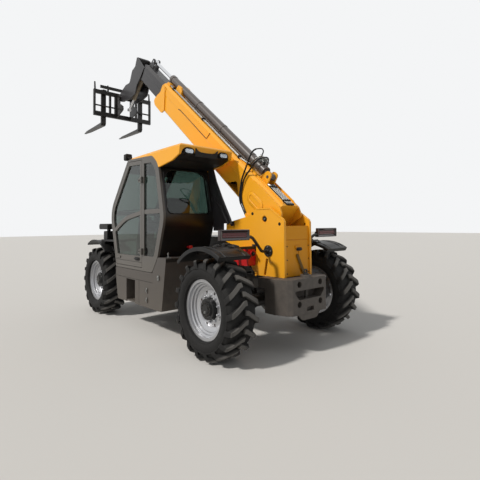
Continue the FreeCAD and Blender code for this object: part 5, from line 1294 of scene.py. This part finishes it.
bm = bmesh.new()
bar(bm, [at(x, GUARD_Y, z) for x, z in GUARD_OUTER], 16, steps=16)
bar(bm, [at(x, GUARD_Y, z) for x, z in GUARD_INNER], 15, steps=14)
plate(bm, GUARD_SHEET, at(0, GUARD_Y - 2, 0), X_AXIS, Z_AXIS, Y_AXIS * 4 * MM)
plate(bm, rounded(48, 60, 8, 3), at(GUARD_FOOT_X, FOOT_FROM_Y, GUARD_FOOT_Z), X_AXIS, Z_AXIS,
      Y_AXIS * (FOOT_TO_Y - FOOT_FROM_Y) * MM)
plate(bm, rounded(60, 60, 8, 3), at(880, GUARD_Y - 20, 1850), X_AXIS, Z_AXIS, Y_AXIS * 40 * MM)
as_piece("boom_side_guard", bm, inner_enamel, "root", "inner_grey", sharp=35)
bolts("guard_bolts", [at(GUARD_FOOT_X, FOOT_TO_Y, GUARD_FOOT_Z + rise) for rise in (14, -14)],
      Y_AXIS, black_enamel, "root", "black_steel", across=17, height=8)
print("guard tube from", GUARD_OUTER[0], "to", GUARD_OUTER[-1])

# %% [markdown]
# ## Latches, handles and caps
# Small fittings show that covers open. They are bought parts, zinc-plated or black, and the eye
# finds them because they are the only bright or dark specks on large plain sheets.

# %% Rear cover latch and its strap of painted channel shade
REAR_PANEL_X = -413
LATCH_PLACE = (-17, 1182)
STRAP_PLACE, STRAP_RUN = (-42, 1005), Vector((0, -126, -238))
SCREWS_Y, SCREWS_Z = (-196, 196), (900, 1060, 1220)

bm = bmesh.new()
plate(bm, rounded(96, 40, 18), at(REAR_PANEL_X, *LATCH_PLACE), Y_AXIS, Z_AXIS, X_AXIS * -6 * MM)
bar(bm, [at(REAR_PANEL_X - 12, y, z) for y, z in ((-58, 1178), (24, 1186))], 7)
turned(bm, [(0, 14), (16, 14), (18, 11)], at(REAR_PANEL_X, *LATCH_PLACE), -X_AXIS, steps=20)
as_piece("rear_cover_latch", bm, black_plastic, "root", "black_plastic", bevel=1)
# the strap's dark olive is painted shade for the shaded inside of a pressed channel
bm = bmesh.new()
strap_along = STRAP_RUN.normalized()
strap_across = strap_along.cross(X_AXIS)
plate(bm, rounded(42, 268, 19), at(REAR_PANEL_X, *STRAP_PLACE), strap_across, strap_along,
      X_AXIS * -5 * MM)
as_piece("rear_cover_channel_shade_strap", bm, channel_shade_enamel, "root", "panel_yellow", bevel=2)
bolts("rear_cover_screws", [at(REAR_PANEL_X, y, z) for y in SCREWS_Y for z in SCREWS_Z], -X_AXIS,
      black_plastic, "root", "black_plastic", across=9, height=3)
print("latch on the rear cover at", shown(at(REAR_PANEL_X, *LATCH_PLACE)))

# %% Side box latches, handle and small fittings
BOX_FACE_Y = 1084
BOX_LATCHES_X, BOX_LATCHES_Z = 1343, (470, 600)
TOP_FITTING = [(0, 20), (4, 20), (6, 9), (34, 9), (36, 14), (50, 14), (54, 9)]
FILLER_CAP = [(0, 13), (16, 13), (18, 9), (30, 9), (32, 12), (40, 11)]

bm = bmesh.new()
for z in BOX_LATCHES_Z:
    plate(bm, rounded(26, 62, 5, 3), at(BOX_LATCHES_X, BOX_FACE_Y, z), X_AXIS, Z_AXIS,
          Y_AXIS * 9 * MM)
    plate(bm, rounded(18, 30, 4, 3), at(BOX_LATCHES_X, BOX_FACE_Y + 9, z - 6), X_AXIS, Z_AXIS,
          Y_AXIS * 8 * MM)
plate(bm, rounded(44, 64, 8, 3), at(1028, BOX_FACE_Y, 796), X_AXIS, Z_AXIS, Y_AXIS * 8 * MM)
turned(bm, [(8, 15), (14, 15), (16, 12)], at(1028, BOX_FACE_Y, 806), Y_AXIS, steps=20)
as_piece("side_box_latches", bm, zinc_plate, "root", "zinc_pipe", bevel=1.5)
bm = bmesh.new()
turned(bm, TOP_FITTING, at(900, 1010, 1066), Z_AXIS, steps=20)
bar(bm, [at(900, 1010, 1096), at(872, 1024, 1112), at(862, 1030, 1136)], 7)
plate(bm, rounded(70, 30, 6, 3), at(900, 985, 1062), X_AXIS, Y_AXIS, Z_AXIS * 8 * MM)
as_piece("box_top_fitting", bm, zinc_plate, "root", "zinc_pipe", sharp=30)
bm = bmesh.new()
turned(bm, [(0, 16), (50, 16), (52, 27), (80, 27), (84, 22)], at(1010, 640, 1180), -X_AXIS,
       steps=24)
as_piece("battery_switch", bm, box_enamel, "root", "box_red", sharp=35)
bm = bmesh.new()
turned(bm, [(0, 30), (6, 30), (6, 22), (2, 20)], at(48, 310, 1120), -X_AXIS, steps=28)
bar(bm, [at(44, 310, 1120), at(26, 316, 1126), at(10, 330, 1110)], 11)
as_piece("service_box_inlet", bm, black_plastic, "root", "black_plastic", sharp=35)
bm = bmesh.new()
turned(bm, FILLER_CAP, at(10, 300, 850), Z_AXIS, steps=20)
as_piece("filler_cap", bm, boom_enamel, "root", "boom_yellow", sharp=35)
print("side box latches:", len(BOX_LATCHES_Z))

# %% [markdown]
# ## Door fittings
# The door has a pull handle with a lock barrel and bolted hinges. They sit proud of the sheet by a
# few millimetres, which is enough to throw a small shadow. They ride on the door, so that they
# swing with it.

# %% Door handle and hinge bolts
HANDLE_Z = 1010
HANDLE_GRIP = ((1580, 1084), (1592, 1104), (1680, 1104), (1692, 1084))
HINGES_Z, HINGE_BOLTS_X = (1120, 2120), (1530, 1556)

bm = bmesh.new()
plate(bm, rounded(150, 46, 20), at(1640, 1080, HANDLE_Z), X_AXIS, Z_AXIS, Y_AXIS * 5 * MM)
bar(bm, [at(x, y, HANDLE_Z) for x, y in HANDLE_GRIP], 8)
turned(bm, [(0, 9), (12, 9), (13, 6)], at(1704, 1084, HANDLE_Z), Y_AXIS, steps=16)
as_piece("door_pull", bm, black_plastic, "door", "black_plastic", sharp=35)
bolts("door_hinge_bolts", [at(x, 1098, z) for z in HINGES_Z for x in HINGE_BOLTS_X], Y_AXIS,
      black_enamel, "door", "black_steel", across=13, height=5)
print("hinges on the door:", len(HINGES_Z))

# %% [markdown]
# ## Hoses to the extension cylinder
# Two rubber hoses feed the long cylinder on top of the boom. Each leaves its port straight up,
# falls over the boom's left edge and hangs down beside it, where it goes back into the machine. A
# hose is a smooth line with a round section, so it is a curve with a bevel. It passes the same
# corners as the model's own hoses, and an arc takes the place of each corner, because a
# hydraulic hose must not bend tighter than about four times its own width. A woven nylon sleeve
# guards the middle of each against rubbing. It is swept along the hose's own finished line, so that
# it fits at every point.

# %% The line of a hose
HOSE_DIAMETER = 16 * MM
HOSE_SIDE = 198
HOSE_PORTS = ((766, 478, 0), (610, 450, 24))
HOSE_BENDS = (66, 100, 300, 250)


def hose_route(s, n, shift):
    """Points of one hose, in mm along the boom, to its left and above it."""
    return [(s, 0, n + 0.3), (s, 0, n + 110), (s + 10, HOSE_SIDE, n + 60 - shift),
            (706 - shift, HOSE_SIDE, 110), (580 - shift, HOSE_SIDE, -130 + shift),
            (358, HOSE_SIDE, -210 + shift)]


def swept_bends(points, radii, steps=10):
    """The route with an arc of the given radius, in metres, in place of each corner."""
    route = [points[0]]
    for last, corner, following, radius in zip(points, points[1:], points[2:], radii):
        back, ahead = (last - corner).normalized(), (following - corner).normalized()
        half = back.angle(ahead) / 2
        centre = corner + (back + ahead).normalized() * (radius / math.sin(half))
        start = corner + back * (radius / math.tan(half)) - centre
        end = corner + ahead * (radius / math.tan(half)) - centre
        route += [centre + start.slerp(end, k / steps) * radius for k in range(steps + 1)]
    return route + [points[-1]]


def smooth_tube(name, points, diameter, material):
    """A round tube along one smooth spline that is pulled by the given points."""
    curve = bpy.data.curves.new(name, "CURVE")
    curve.dimensions = "3D"
    spline = curve.splines.new("NURBS")
    spline.points.add(len(points) - 1)
    for target, point in zip(spline.points, points):
        target.co = (*point, 1.0)
    spline.order_u = 3
    spline.use_endpoint_u = True
    spline.resolution_u = 3
    curve.bevel_depth = diameter / 2
    curve.bevel_resolution = 5
    curve.use_fill_caps = True
    curve.materials.append(material)
    tube = bpy.data.objects.new(name, curve)
    bpy.context.scene.collection.objects.link(tube)
    return tube


# %% Woven sleeves and the two hoses
HOSE_LENGTHS = (1.17, 1.07)
SLEEVE_RADIUS = 11
SLEEVE_FROM, SLEEVE_TO = 0.30, 0.96


def sleeve_on(route, name):
    """A sleeve that follows the middle part of a hose's own smooth line."""
    seen = route.evaluated_get(bpy.context.evaluated_depsgraph_get())
    line = bpy.data.meshes.new_from_object(seen)
    points = [vert.co.copy() for vert in line.vertices]
    bpy.data.meshes.remove(line)
    count = len(points)
    bm = bmesh.new()
    bar(bm, points[int(count * SLEEVE_FROM):int(count * SLEEVE_TO)], SLEEVE_RADIUS, steps=14)
    return as_piece(name, bm, hose_rubber, "boom", "hose_rubber", sharp=60)


for number, ((s, n, shift), length) in enumerate(zip(HOSE_PORTS, HOSE_LENGTHS), start=1):
    corners = [on_boom(*place) for place in hose_route(s, n, shift)]
    points = swept_bends(corners, [radius * MM for radius in HOSE_BENDS])
    hose = smooth_tube(f"boom_hose_{number}", points, HOSE_DIAMETER, hose_rubber)
    hose.data.bevel_depth = 0
    bpy.context.view_layer.update()
    sleeve = sleeve_on(hose, f"boom_hose_{number}_sleeve")
    hose.data.bevel_depth = HOSE_DIAMETER / 2
    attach(hose, "boom")
    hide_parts("boom_hoses")
    run = sum((b - a).length for a, b in zip(points, points[1:]))
    print(hose.name, "runs", round(run, 3), "m from", shown(points[0]))
